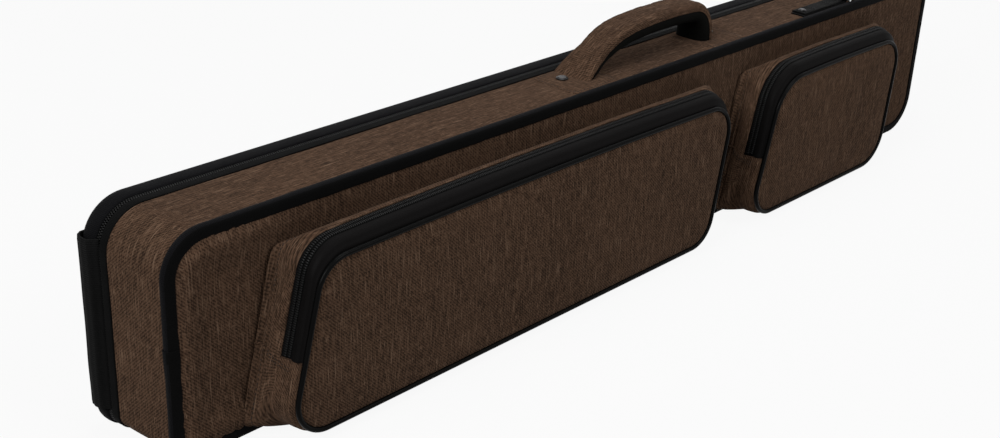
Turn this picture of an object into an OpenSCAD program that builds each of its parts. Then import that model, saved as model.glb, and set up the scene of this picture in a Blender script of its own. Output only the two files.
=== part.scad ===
// Hard cue case for two butts and four shafts, standing on its long bottom side.
// X runs along the length with the hinged end at -X, the pockets face -Y, the lid faces +Y.
// The origin is the middle of the floor under the whole case.

/* [Case] */
// Outer length over the bindings
case_l = 860; // [800:5:960]
// Outer height over the bindings
case_h = 150; // [146:1:180]
// Depth from the front face to the lid's flat face
case_d = 76; // [76:1:110]
// Corner radius of the bindings seen from the front
case_r = 24; // [20:1:34]
// Thickness of the stiff covered side wall
wall_t = 5; // [3:0.5:8]
// Thickness of the front board with its padding
board_t = 6; // [4:0.5:9]
// How far the bindings stand out from the side wall
bind_out = 2; // [1.6:0.2:3]
// Width of the front binding on the front face
bind_face_w = 9; // [7:0.5:12]
// Width of the front binding on the side wall
bind_side_w = 6.5; // [5:0.5:8]

/* [Lid] */
// Depth of the lid, from the zip line to its flat face
lid_d = 16; // [14:0.5:22]
// Thickness of the lid's board
lid_t = 4; // [3:0.5:6]
// Width of the main zip's tape beside the coil
zip_tape_w = 6; // [5:0.5:9]
// Thickness of the zip tapes
tape_t = 1.2; // [0.8:0.1:1.5]
// Width of one half of a zip's coil
coil_w = 1.5; // [1.2:0.1:2.2]
// Gap between the two halves of a closed zip
zip_gap = 0.4; // [0.3:0.1:0.8]
// How far the lid's padding reaches into the body
pad_reach = 3; // [1:0.5:4]
// Height of the webbing hinge
hinge_h = 114; // [70:2:120]
// How far the webbing hinge stands out past the binding
hinge_out = 10; // [8:1:14]
// Thickness of the hinge webbing
web_t = 2.4; // [1.6:0.2:3]

/* [Cue channels] */
// Width of a channel that holds one butt
butt_w = 35; // [32:1:37]
// Width of a channel that holds two shafts, one over the other
shaft_w = 22; // [18:1:24]
// Length of every channel
channel_l = 770; // [700:5:780]
// Foam left under the channels
foam_floor = 6; // [4:0.5:9]
// Width of a retaining strap
strap_w = 25; // [15:1:50]
// Distance of each retaining strap from the middle of the case
strap_x = 210; // [120:5:260]

/* [Pockets] */
// Top edge of both pocket fronts above the floor
pocket_top = 122.5; // [116:0.5:124]
// Bottom edge of both pocket fronts above the floor
pocket_bottom = 6; // [5:0.5:12]
// How far the pocket fronts stand off the front board
pocket_d = 37; // [32:1:50]
// Height of the fold where the zips end
fold_z = 59; // [50:1:66]
// Lean of the slanted pocket ends, in degrees
pocket_lean = 13.5; // [8:0.5:15]
// Long pocket: left end of its top edge
long_left = -346; // [-346:1:-280]
// Long pocket: right end of its top edge
long_right = 68; // [0:1:72]
// Small pocket: left end of its top edge
small_left = 133; // [130:1:180]
// Small pocket: right end of its top edge
small_right = 322; // [280:1:335]
// Corner radius of the pocket fronts
pocket_r = 25; // [18:1:28]
// Radius of the pocket piping
piping_r = 1.8; // [1.5:0.1:2.6]
// Width of one half of a pocket zip's coil
pocket_coil_w = 3.2; // [2:0.2:3.6]
// How far the stuffed top of a pocket bulges up
pocket_bulge = 8; // [4:0.5:11]
// How much wider a pocket is at the board than at its front, at each end
pocket_flare = 8; // [4:0.5:9]
// Thickness of the pocket's lined fabric wall
cloth_t = 2; // [1.6:0.1:2.6]

/* [Handle] */
// Middle of the handle along the case
handle_x = 31.5; // [-40:0.5:60]
// Distance between the middles of the handle's feet
handle_span = 145; // [130:1:180]
// Rise of the grip's middle line above the case
handle_rise = 34; // [30:1:50]
// Width of the grip at its crown
grip_w = 28; // [24:1:32]
// Width of the handle's feet
foot_w = 34; // [32:1:36]
// Thickness of the padded grip
grip_t = 12; // [9:0.5:13]
// Thickness of the padded lining under the grip
lining_t = 3; // [1:0.5:4]
// How far the slanted near leg leans along the case
near_reach = 38; // [30:1:45]
// Bend radius between the near leg and the crown
near_bend = 70; // [50:2:70]
// Bend radius between the crown and the far leg
far_bend = 14; // [14:1:24]

/* [Strap ring] */
// Near end of the strap tab
tab_x = 222; // [200:2:260]
// Length of the strap tab
tab_l = 68; // [50:1:80]
// Width of the strap tab
tab_w = 13; // [10:0.5:14]
// Thickness of the D-ring's wire
ring_wire = 3; // [2:0.2:4]

/* [Hidden] */
$fn = 48;

brown = "#4a3a2e";
black = "#1c1c1e";
dark_grey = "#2b2b2e";
foam_grey = "#3a3a3d";
steel = "#b9bbbd";

// Planes of the case, seen from its own middle
y_front = -case_d / 2;
y_lid = case_d / 2;
y_split = y_lid - lid_d;
wall_top = case_h - bind_out;
end_x = case_l / 2 - bind_out;
hinge_x = -case_l / 2 - hinge_out;
panel_crown = 1;
mid_x = (hinge_x + case_l / 2) / 2;
mid_y = (y_front - pocket_d - panel_crown + y_lid) / 2;
arc_steps = 7;

// Puts a piece drawn about the case's middle onto the origin
module place() {
    translate([-mid_x, -mid_y, 0]) children();
}

// Stands a drawing upright: its Y becomes the height, its Z the distance in front of y = 0
module upright() {
    rotate([90, 0, 0]) children();
}

// ---- Rings and plates built on a four-cornered outline with rounded corners ----

// Line through two corners, moved outward by s, as [point, direction]
function moved_line(p, q, s) =
    let (d = (q - p) / norm(q - p))
    [p + s * [-d[1], d[0]], d];

// Where two such lines meet
function meet(a, b) =
    let (cr = a[1][0] * b[1][1] - a[1][1] * b[1][0], w = b[0] - a[0])
    a[0] + a[1] * (w[0] * b[1][1] - w[1] * b[1][0]) / cr;

// Corners run clockwise from top left; the sides' shifts are [top, right, bottom, left]
function moved_corners(c, s) =
    let (lines = [for (i = [0:3]) moved_line(c[i], c[(i + 1) % 4], s[i])])
    [for (i = [0:3]) meet(lines[(i + 3) % 4], lines[i])];

// Arc that rounds the corner b between a and c
function round_corner(a, b, c, r) =
    let (u = (a - b) / norm(a - b), v = (c - b) / norm(c - b), half = acos(u * v) / 2,
        o = b + (u + v) / norm(u + v) * r / sin(half), p = b + u * r / tan(half) - o,
        a0 = atan2(p[1], p[0]), turn = 180 - 2 * half)
    [for (k = [0:arc_steps]) let (t = a0 - turn * k / arc_steps) o + r * [cos(t), sin(t)]];

function rounded_quad(c, r) =
    [for (i = [0:3]) each round_corner(c[(i + 3) % 4], c[i], c[(i + 1) % 4], r)];

function four(s) = is_list(s) ? s : [s, s, s, s];

// The outline for one vertex [shifts, depth, corner radius] of a section
function loop_points(c, v) =
    [for (p = rounded_quad(moved_corners(c, four(v[0])), v[2])) [p[0], p[1], v[1]]];

// Twice the area a section goes round, to tell which way it runs
function section_turn(s) =
    let (m = len(s), parts = [for (k = [0:m - 1])
        let (p = s[k], q = s[(k + 1) % m]) four(p[0])[0] * q[1] - four(q[0])[0] * p[1]])
    parts * [for (k = [0:m - 1]) 1];

// Ring whose cross-section has the vertices in section
module loop_solid(c, section) {
    n = 4 * (arc_steps + 1);
    m = len(section);
    s = section_turn(section) > 0 ? section : [for (k = [m - 1:-1:0]) section[k]];
    polyhedron(
        points = [for (v = s) each loop_points(c, v)],
        faces = [for (k = [0:m - 1]) for (i = [0:n - 1])
            let (a = k * n + i, b = k * n + (i + 1) % n,
                e = ((k + 1) % m) * n + i, f = ((k + 1) % m) * n + (i + 1) % n)
            each [[a, b, f], [a, f, e]]]);
}

// Plate through outlines of rising depth, with flat ends
module stack_solid(c, levels) {
    n = 4 * (arc_steps + 1);
    m = len(levels);
    polyhedron(
        points = [for (v = levels) each loop_points(c, v)],
        faces = concat([[for (i = [n - 1:-1:0]) i]],
            [for (k = [0:m - 2]) for (i = [0:n - 1])
                let (a = k * n + i, b = k * n + (i + 1) % n)
                each [[a, b, b + n], [a, b + n, a + n]]],
            [[for (i = [0:n - 1]) (m - 1) * n + i]]));
}

// ---- Case body ----

// Outer face of the side wall, in the upright plane
wall_c = [[-end_x, wall_top], [end_x, wall_top], [end_x, bind_out], [-end_x, bind_out]];
wall_r = case_r - bind_out;
// Tapes laid round the wall stand a little off it in the corners
eased_r = wall_r - 1.4;

// Rectangle with round corners, from its lower left corner
module round_rect(l, h, r) {
    translate([r, 0]) square([l - 2 * r, h]);
    translate([0, r]) square([l, h - 2 * r]);
    for (x = [r, l - r])
        for (y = [r, h - r])
            translate([x, y]) circle(r = r);
}

// Slab with the side wall's outline moved in by n, between two depths y0 < y1
module case_slab(n, y0, y1) {
    translate([-end_x + n, y1, bind_out + n]) upright() linear_extrude(y1 - y0)
        round_rect(2 * (end_x - n), wall_top - bind_out - 2 * n, wall_r - n);
}

module side_wall() {
    color(brown) place() difference() {
        case_slab(0, y_front + bind_out, y_split - coil_w);
        case_slab(wall_t, y_front, y_split);
    }
}

// Board between the walls with the padded cloth raised to the binding's level
panel_in = bind_face_w - bind_out;

module front_panel() {
    color(brown) place() union() {
        case_slab(wall_t, y_front + bind_out, y_front + board_t);
        upright() stack_solid(wall_c, [
            [-panel_in, -y_front - bind_out, wall_r - panel_in],
            [-panel_in, -y_front - 0.6, wall_r - panel_in],
            [-panel_in - 1.2, -y_front, wall_r - panel_in - 1.2]]);
    }
}

module front_binding() {
    color(black) place() upright() loop_solid(wall_c, [
        [0, -y_front - bind_side_w, eased_r],
        [0, -y_front - bind_out, eased_r],
        [-panel_in, -y_front - bind_out, wall_r - panel_in],
        [-panel_in, -y_front - 0.6, wall_r - panel_in],
        [-panel_in + 1, -y_front, wall_r - panel_in + 1],
        [bind_out - 3.5, -y_front, case_r - 3.5],
        [bind_out - 1.2, -y_front - 0.7, case_r - 1.2],
        [bind_out, -y_front - 3, case_r],
        [bind_out, -y_front - bind_side_w + 1, case_r],
        [bind_out - 0.8, -y_front - bind_side_w, case_r - 0.8]]);
}

module body_zip_tape() {
    color(black) place() upright() loop_solid(wall_c, [
        [0, -y_split + coil_w + zip_tape_w, eased_r],
        [tape_t, -y_split + coil_w + zip_tape_w, wall_r + tape_t],
        [tape_t, -y_split + coil_w, wall_r + tape_t],
        [0, -y_split + coil_w, eased_r]]);
}

// Half of the main zip's coil, a bead from depth y0 to y1
module coil_bead(y0, y1) {
    upright() loop_solid(wall_c, [
        [-0.8, -y0, wall_r - 0.8],
        [tape_t - 0.3, -y0, wall_r + tape_t - 0.3],
        [tape_t, -(y0 + y1) / 2, wall_r + tape_t],
        [tape_t - 0.3, -y1, wall_r + tape_t - 0.3],
        [-0.8, -y1, wall_r - 0.8]]);
}

module body_zip_coil() {
    color(dark_grey) place() coil_bead(y_split - coil_w, y_split - zip_gap / 2);
}

// ---- Cue cradle ----

foam_back = y_front + board_t;
strap_t = 1.5;
foam_face = y_split - pad_reach - strap_t - 1;
foam_h = wall_top - bind_out - 2 * wall_t;
channel_w = [butt_w, shaft_w, shaft_w, butt_w];
channel_gap = (foam_h - 2 * butt_w - 2 * shaft_w) / 5;
channel_z = [bind_out + wall_t + channel_gap,
    bind_out + wall_t + 2 * channel_gap + butt_w,
    bind_out + wall_t + 3 * channel_gap + butt_w + shaft_w,
    bind_out + wall_t + 4 * channel_gap + butt_w + 2 * shaft_w];

// A channel with a round floor, open towards the lid
module channel(z0, w) {
    deep = foam_back + foam_floor + w / 2;
    translate([-channel_l / 2, deep, z0 + w / 2]) rotate([0, 90, 0]) cylinder(h = channel_l, d = w);
    translate([-channel_l / 2, deep, z0]) cube([channel_l, y_split - deep, w]);
}

module foam_cradle() {
    color(foam_grey) place() difference() {
        case_slab(wall_t, foam_back, foam_face);
        for (i = [0:3]) channel(channel_z[i], channel_w[i]);
    }
}

module cue_straps() {
    color(black) place() for (s = [-1, 1])
        translate([s * strap_x - strap_w / 2, foam_face, bind_out + wall_t])
            cube([strap_w, strap_t, foam_h]);
}

// ---- Lid ----

lid_tape_w = 4;

module lid_frame() {
    color(dark_grey) place() difference() {
        case_slab(0, y_split + coil_w, y_lid - lid_t);
        case_slab(wall_t, y_split, y_lid);
    }
}

module lid_panel() {
    color(brown) place() union() {
        case_slab(0, y_lid - lid_t, y_lid - 1);
        upright() stack_solid(wall_c, [
            [-6, -y_lid, wall_r - 6],
            [-4.2, -y_lid + 0.4, wall_r - 4.2],
            [-3.7, -y_lid + 1.2, wall_r - 3.7]]);
    }
}

// Roll that covers the lid's edge from the zip to its flat face
module lid_binding() {
    color(black) place() upright() loop_solid(wall_c, [
        [0, -y_split - coil_w - lid_tape_w, eased_r],
        [tape_t, -y_split - coil_w - lid_tape_w, wall_r + tape_t],
        [tape_t, -y_split - coil_w - 0.9, wall_r + tape_t],
        [bind_out - 0.2, -y_split - coil_w - 1.2, case_r - 0.2],
        [bind_out, -y_split - coil_w - 3, case_r],
        [bind_out, -y_lid + 4.5, case_r],
        [bind_out - 1, -y_lid + 1.6, case_r - 1],
        [-1, -y_lid + 0.3, wall_r - 1],
        [-3, -y_lid + 0.3, wall_r - 3],
        [-3.6, -y_lid + 1, wall_r - 3.6],
        [0, -y_lid + 1, eased_r]]);
}

module lid_zip_tape() {
    color(black) place() upright() loop_solid(wall_c, [
        [0, -y_split - coil_w, eased_r],
        [tape_t, -y_split - coil_w, wall_r + tape_t],
        [tape_t, -y_split - coil_w - lid_tape_w, wall_r + tape_t],
        [0, -y_split - coil_w - lid_tape_w, eased_r]]);
}

module lid_zip_coil() {
    color(dark_grey) place() coil_bead(y_split + zip_gap / 2, y_split + coil_w);
}

module lid_pad() {
    color(foam_grey) place() union() {
        case_slab(wall_t, y_split + 1, y_lid - lid_t);
        case_slab(wall_t + 3, y_split - pad_reach, y_split + 1);
    }
}

// ---- Webbing hinge at the near end ----

hinge_z = (case_h - hinge_h) / 2 - 1.5;
hinge_lap = 3;
tape_x = -end_x - tape_t;

// Leaf sewn over the edge of the body's zip tape, swelling out to the fold line
module hinge_body_leaf() {
    color(black) place() translate([0, 0, hinge_z]) linear_extrude(hinge_h) polygon([
        [tape_x, y_split - coil_w - hinge_lap],
        [tape_x - web_t, y_split - coil_w - hinge_lap],
        [hinge_x, y_split - zip_gap / 2 - 1],
        [hinge_x, y_split - zip_gap / 2],
        [tape_x, y_split - zip_gap / 2]]);
}

// Leaf that wraps the lid's roll and is sewn down at its flat face
module hinge_lid_leaf() {
    color(black) place() translate([0, 0, hinge_z]) linear_extrude(hinge_h) polygon([
        [-case_l / 2, y_split + zip_gap / 2],
        [hinge_x, y_split + zip_gap / 2],
        [hinge_x, y_lid - 5],
        [hinge_x + 1.5, y_lid - 2.2],
        [hinge_x + 4.5, y_lid - 0.4],
        [-end_x + 1, y_lid - 0.1],
        [-end_x + 1, y_lid - 0.3],
        [-case_l / 2 + 1, y_lid - 1.6],
        [-case_l / 2, y_lid - 4.5]]);
}

// ---- Sliders and pulls, drawn flat: X along the zip, Y across it, Z out of the tape ----

slider_l = 11;
slider_w = 6.4;
pocket_slider_w = 2 * pocket_coil_w + 1.6;
slider_lift = 0.45;
plate_t = 1.1;
bridge_w = 2.2;
bridge_under = 3.8;
bridge_top = 4.7;
pull_mid = 2.6;
pull_t = 1.2;
pull_l = 24;
pull_w = 6;
pull_x = -0.2;

// Shield plate of width w with the bridge that holds the pull
module slider_body(w) {
    union() {
        translate([0, 0, slider_lift]) linear_extrude(plate_t) polygon([
            [-slider_l / 2, -w / 2 + 1.4], [-slider_l / 2 + 1.5, -w / 2],
            [slider_l / 2 - 1, -w / 2 + 0.8], [slider_l / 2, -w / 2 + 2],
            [slider_l / 2, w / 2 - 2], [slider_l / 2 - 1, w / 2 - 0.8],
            [-slider_l / 2 + 1.5, w / 2], [-slider_l / 2, w / 2 - 1.4]]);
        difference() {
            translate([-4, -bridge_w / 2, slider_lift]) cube([8, bridge_w, bridge_top - slider_lift]);
            translate([-2.6, -2, slider_lift + plate_t])
                cube([5.2, 4, bridge_under - slider_lift - plate_t]);
        }
    }
}

// Tab whose eye goes round the bridge, lying along -X
module pull_tab() {
    translate([pull_x, 0, pull_mid - pull_t / 2]) rotate([0, 0, 180]) difference() {
        union() {
            translate([0, -2.7, 0]) cube([8, 5.4, pull_t]);
            translate([6, -pull_w / 2, 0]) cube([pull_l - 6 - pull_w / 2, pull_w, pull_t]);
            translate([pull_l - pull_w / 2, 0, 0]) cylinder(h = pull_t, d = pull_w);
        }
        translate([1.2, -1.5, -1]) cube([3.8, 3, pull_t + 2]);
        translate([pull_l - pull_w / 2, 0, -1]) cylinder(h = pull_t + 2, d = 2.4);
    }
}

// The main zip's sliders rest nose to nose on the top side
slider_rest = 130;
near_slider_x = case_l / 2 - slider_rest;
far_slider_x = near_slider_x + slider_l + 2;
slider_y = y_split - 1.2;

module on_top(x, turn) {
    place() translate([x, slider_y, wall_top + tape_t]) rotate([0, 0, turn]) children();
}

module near_slider() {
    color(steel) on_top(near_slider_x, 0) slider_body(slider_w);
}

module near_pull() {
    color(black) on_top(near_slider_x, 0) pull_tab();
}

module far_slider() {
    color(steel) on_top(far_slider_x, 180) slider_body(slider_w);
}

module far_pull() {
    color(black) on_top(far_slider_x, 180) pull_tab();
}

// ---- Pockets ----

lean = (pocket_top - pocket_bottom) * tan(pocket_lean);
long_c = [[long_left, pocket_top], [long_right, pocket_top],
    [long_right - 0.65 * lean, pocket_bottom], [long_left - lean, pocket_bottom]];
small_c = [[small_left, pocket_top], [small_right, pocket_top],
    [small_right - 0.36 * lean, pocket_bottom], [small_left - lean, pocket_bottom]];

// Depths of the seams in front of the board
zip_d0 = 0.49 * pocket_d;
zip_mid = zip_d0 + pocket_coil_w + 1;
piping_d = pocket_d - piping_r;
piping_sides = 8;
piping_flat = piping_r * cos(180 / piping_sides);
wall_end = piping_d - piping_flat;
flap_gap = 0.4;

// Shifts of a pocket's outer face at a depth: the top is stuffed out, the ends flare
function face_shift(d) =
    let (t = d / wall_end,
        top = d < zip_d0 ? -2 + (pocket_bulge + 2) * sin(90 * d / zip_d0)
            : -0.6 + (pocket_bulge + 0.6) * cos(90 * (d - zip_d0) / (wall_end - zip_d0)),
        side = (pocket_flare + 0.6) * (1 - t) - 0.6)
    [top, side, -4 * (1 - t) + 2.2 * sin(180 * t) - 0.6 * t, side];

// Corners are sharp at the board and round at the front
base_r = 6;

function face_r(d) = pocket_r - (pocket_r - base_r) * pow(1 - min(d / zip_d0, 1), 1.5);

// One vertex of a pocket wall's section, moved in from the outer face
function wall_vertex(d, inset) =
    [face_shift(d) - inset * [1, 1, 1, 1], d - y_front, max(face_r(d) - inset, 3)];

// Band of a pocket's wall between two depths
module wall_band(c, d0, d1, inset, t, steps) {
    upright() loop_solid(c, concat(
        [for (i = [0:steps]) wall_vertex(d0 + (d1 - d0) * i / steps, inset)],
        [for (i = [steps:-1:0]) wall_vertex(d0 + (d1 - d0) * i / steps, inset + t)]));
}

// What lies above or below the fold line
module above_fold() {
    intersection() {
        children();
        translate([-case_l, y_front - 2 * pocket_d, fold_z + flap_gap / 2])
            cube([2 * case_l, 3 * pocket_d, case_h]);
    }
}

module below_fold() {
    intersection() {
        children();
        translate([-case_l, y_front - 2 * pocket_d, fold_z - flap_gap / 2 - case_h])
            cube([2 * case_l, 3 * pocket_d, case_h]);
    }
}

// Fabric wall with a sewn ridge at the board, full depth under the zip's ends
module pocket_gusset(c) {
    color(brown) place() union() {
        wall_band(c, 0, zip_d0, 0, cloth_t, 4);
        upright() loop_solid(c, [
            [face_shift(0) - [1, 1, 1, 1], -y_front, base_r - 1],
            [face_shift(0) + 1.6 * [1, 1, 1, 1], -y_front, base_r + 1.6],
            [face_shift(0) + 1.6 * [1, 1, 1, 1], -y_front + 1, base_r + 1.6],
            [face_shift(0) - [1, 1, 1, 1], -y_front + 1.8, base_r - 1]]);
        below_fold() wall_band(c, zip_d0, wall_end, 0, cloth_t, 3);
    }
}

// Fixed half of the pocket's zip, tape and coil
module pocket_zip_base(c) {
    color(black) place() above_fold() union() {
        wall_band(c, zip_d0, zip_mid - pocket_coil_w, 0.2, tape_t, 1);
        wall_band(c, zip_mid - pocket_coil_w, zip_mid - zip_gap / 2, -0.3, 1.9, 1);
    }
}

module pocket_flap_zip(c) {
    color(black) place() above_fold()
        wall_band(c, zip_mid + zip_gap / 2, zip_mid + pocket_coil_w, -0.3, 1.9, 1);
}

module pocket_flap_band(c) {
    color(dark_grey) place() above_fold()
        wall_band(c, zip_mid + pocket_coil_w, wall_end, 0, cloth_t, 4);
}

// Cord-filled piping round the pocket's front
module pocket_piping(c) {
    upright() loop_solid(c, [for (k = [0:piping_sides - 1])
        let (a = 360 * (k + 0.5) / piping_sides)
        [-piping_r * (1 - cos(a)), piping_d - y_front + piping_r * sin(a),
            pocket_r - piping_r * (1 - cos(a))]]);
}

// Padded front cloth, crowned towards its middle
cloth_in = piping_r + piping_flat;

module pocket_cloth(c) {
    upright() stack_solid(c, [
        [-cloth_in, piping_d - 1.6 - y_front, pocket_r - cloth_in],
        [-cloth_in, piping_d + 1 - y_front, pocket_r - cloth_in],
        [-cloth_in - 3, pocket_d - y_front, pocket_r - cloth_in - 2],
        [-cloth_in - 22, pocket_d + panel_crown - y_front, 14]]);
}

module long_gusset() { pocket_gusset(long_c); }
module long_zip_base() { pocket_zip_base(long_c); }
module long_lower_panel() { color(brown) place() below_fold() pocket_cloth(long_c); }
module long_lower_piping() { color(black) place() below_fold() pocket_piping(long_c); }
module long_flap_zip() { pocket_flap_zip(long_c); }
module long_flap_band() { pocket_flap_band(long_c); }
module long_flap_panel() { color(brown) place() above_fold() pocket_cloth(long_c); }
module long_flap_piping() { color(black) place() above_fold() pocket_piping(long_c); }

module small_gusset() { pocket_gusset(small_c); }
module small_zip_base() { pocket_zip_base(small_c); }
module small_lower_panel() { color(brown) place() below_fold() pocket_cloth(small_c); }
module small_lower_piping() { color(black) place() below_fold() pocket_piping(small_c); }
module small_flap_zip() { pocket_flap_zip(small_c); }
module small_flap_band() { pocket_flap_band(small_c); }
module small_flap_panel() { color(brown) place() above_fold() pocket_cloth(small_c); }
module small_flap_piping() { color(black) place() above_fold() pocket_piping(small_c); }

// The pocket sliders rest at the lower right end of their zips, flat on the flared wall
slider_rise = 8;
coil_stand = 0.3;
flare_turn = atan((pocket_flare + 0.6) / wall_end);

module on_right_side(c) {
    line = moved_line(c[1], c[2], face_shift(zip_mid)[1] + coil_stand);
    d = line[1];
    along = (line[0][1] - fold_z - slider_rise) / -d[1];
    p = line[0] + along * d;
    place() multmatrix([
        [-d[0], 0, -d[1], p[0]],
        [0, -1, 0, y_front - zip_mid],
        [-d[1], 0, d[0], p[1]],
        [0, 0, 0, 1]]) rotate([-flare_turn, 0, 0]) children();
}

module long_slider() { color(steel) on_right_side(long_c) slider_body(pocket_slider_w); }
module long_pull() { color(black) on_right_side(long_c) pull_tab(); }
module small_slider() { color(steel) on_right_side(small_c) slider_body(pocket_slider_w); }
module small_pull() { color(black) on_right_side(small_c) pull_tab(); }

// ---- Handle ----

patch_t = 1.2;
patch_y0 = y_front + bind_side_w + 0.5;
patch_y1 = y_split - coil_w - zip_tape_w - 0.5;
handle_y = patch_y1 - foot_w / 2;
foot_top = wall_top + patch_t;
foot_x = [handle_x - handle_span / 2, handle_x + handle_span / 2];
crown_z = wall_top + handle_rise;
crown_slope = 2.5;

// Corners of the grip's middle line seen from the front, and the line itself
grip_corners = [[foot_x[0], foot_top], [foot_x[0] + near_reach, crown_z - crown_slope],
    [foot_x[1], crown_z], [foot_x[1], foot_top]];
grip_line = concat([grip_corners[0]],
    round_corner(grip_corners[0], grip_corners[1], grip_corners[2], near_bend),
    round_corner(grip_corners[1], grip_corners[2], grip_corners[3], far_bend),
    [grip_corners[3]]);
grip_end = len(grip_line) - 1;

// Unit direction of the line at its point k
function grip_run(k) =
    let (d = grip_line[min(k + 1, grip_end)] - grip_line[max(k - 1, 0)])
    d / norm(d);

// The feet are wider than the crown
function grip_width(k) =
    let (drop = 1 - (grip_line[k][1] - foot_top) / (crown_z - foot_top))
    grip_w + (foot_w - grip_w) * pow(max(drop, 0), 1.5);

// Places a section point [out from the line, across] at point k; the ends lie flat on the patches
function on_grip(k, p) =
    let (m = grip_line[k], d = grip_run(k), q = [m[0] - p[0] * d[1], m[1] + p[0] * d[0]],
        slide = k == 0 || k == grip_end ? (foot_top - q[1]) / d[1] : 0)
    [q[0] + slide * d[0], handle_y + p[1], q[1] + slide * d[1]];

// Rounded rectangle from n0 inside to n1 outside the line, with its corner radii there
function grip_section(w, n0, n1, r0, r1) = [for (k = [0:3]) for (j = [0:3])
    let (a = 90 * k + 30 * j, out = k == 0 || k == 3, sy = k < 2 ? 1 : -1, r = out ? r1 : r0)
    [(out ? n1 - r : n0 + r) + r * cos(a), sy * (w / 2 - r) + r * sin(a)]];

// Sweeps that section along the whole line, with its sides moved in by inset
module grip_sweep(inset, n0, n1, r0, r1) {
    n = 16;
    polyhedron(
        points = [for (k = [0:grip_end])
            each [for (p = grip_section(grip_width(k) - 2 * inset, n0, n1, r0, r1)) on_grip(k, p)]],
        faces = concat([[for (i = [n - 1:-1:0]) i]],
            [for (k = [0:grip_end - 1]) for (i = [0:n - 1])
                let (a = k * n + i, b = k * n + (i + 1) % n)
                each [[a, b, b + n], [a, b + n, a + n]]],
            [[for (i = [0:n - 1]) grip_end * n + i]]));
}

under_r = 2.5;
crown_r = 0.45 * grip_t;

module handle_grip() {
    color(brown) place() grip_sweep(0, -grip_t / 2, grip_t / 2, under_r, crown_r);
}

// Smooth black padded lining under the grip
module handle_lining() {
    color(black) place()
        grip_sweep(under_r, -grip_t / 2 - lining_t, -grip_t / 2, 0.7 * lining_t, 0.2);
}

patch_l = 52;
patch_lap = 18;
patch_r = 9;
rivet_off = 17;
rivet_r = 4.6;
patch_x = [foot_x[0] - patch_l + patch_lap, foot_x[1] - patch_lap];
rivet_x = [foot_x[0] - rivet_off, foot_x[1] + rivet_off];

module handle_patches() {
    color(brown) place() difference() {
        for (x = patch_x)
            translate([x, patch_y0, wall_top]) linear_extrude(patch_t)
                round_rect(patch_l, patch_y1 - patch_y0, patch_r);
        for (x = rivet_x)
            translate([x, handle_y, wall_top - 1]) cylinder(h = patch_t + 2, r = 1.5);
    }
}

// Domed rivet whose head stands on top of the cloth at z = 0
module rivet(shank, head_r) {
    translate([0, 0, -shank]) cylinder(h = shank, r = 1.5);
    cylinder(h = 0.8, r = head_r);
    translate([0, 0, 0.8]) cylinder(h = 0.8, r1 = head_r, r2 = head_r - 1.4);
}

module handle_rivets() {
    color(steel) place() for (x = rivet_x)
        translate([x, handle_y, foot_top]) rivet(patch_t, rivet_r);
}

// ---- Strap tab and D-ring ----

tab_layer = 1.6;
tab_y = y_front + bind_side_w + 0.4 + tab_w / 2;
bar_x = tab_x + tab_l;
bar_z = bind_out + ring_wire / 2 + 0.4;
ring_in = tab_w / 2 + 1.2;

// Webbing doubled over round the ring's bar
module strap_tab() {
    color(black) place() translate([0, tab_y + tab_w / 2, wall_top]) upright() difference() {
        linear_extrude(tab_w) difference() {
            union() {
                translate([tab_x, 0]) square([bar_x - tab_x, 2 * tab_layer]);
                translate([bar_x, bar_z]) circle(r = ring_wire / 2 + 0.3 + tab_layer);
            }
            translate([bar_x, bar_z]) circle(r = ring_wire / 2 + 0.3);
        }
        translate([tab_x + 7, -1, tab_w / 2]) rotate([-90, 0, 0]) cylinder(h = 6, r = 1.5);
    }
}

module strap_rivet() {
    color(steel) place() translate([tab_x + 7, tab_y, wall_top + 2 * tab_layer])
        rivet(2 * tab_layer, 3.4);
}

// Ring lying towards the far end, its straight bar in the tab's loop
module d_ring() {
    r = ring_wire / 2;
    w = ring_in + r;
    color(steel) place() translate([bar_x, tab_y, wall_top + bar_z]) union() {
        translate([0, w + r, 0]) rotate([90, 0, 0]) cylinder(h = 2 * (w + r), r = r);
        for (s = [-1, 1])
            translate([0, s * w, 0]) rotate([0, 90, 0]) cylinder(h = 5, r = 0.9 * r);
        translate([5, 0, 0]) rotate([0, 0, -90]) rotate_extrude(angle = 180)
            translate([w, 0]) circle(r = 0.9 * r);
    }
}

side_wall();
front_panel();
front_binding();
body_zip_tape();
body_zip_coil();
foam_cradle();
cue_straps();
hinge_body_leaf();
lid_frame();
lid_panel();
lid_binding();
lid_zip_tape();
lid_zip_coil();
lid_pad();
hinge_lid_leaf();
near_slider();
near_pull();
far_slider();
far_pull();
long_gusset();
long_zip_base();
long_lower_panel();
long_lower_piping();
long_flap_zip();
long_flap_band();
long_flap_panel();
long_flap_piping();
long_slider();
long_pull();
small_gusset();
small_zip_base();
small_lower_panel();
small_lower_piping();
small_flap_zip();
small_flap_band();
small_flap_panel();
small_flap_piping();
small_slider();
small_pull();
handle_grip();
handle_lining();
handle_patches();
handle_rivets();
strap_tab();
strap_rivet();
d_ring();
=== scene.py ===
import math

import bmesh
import bpy
from mathutils import Matrix, Vector, kdtree, noise


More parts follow.
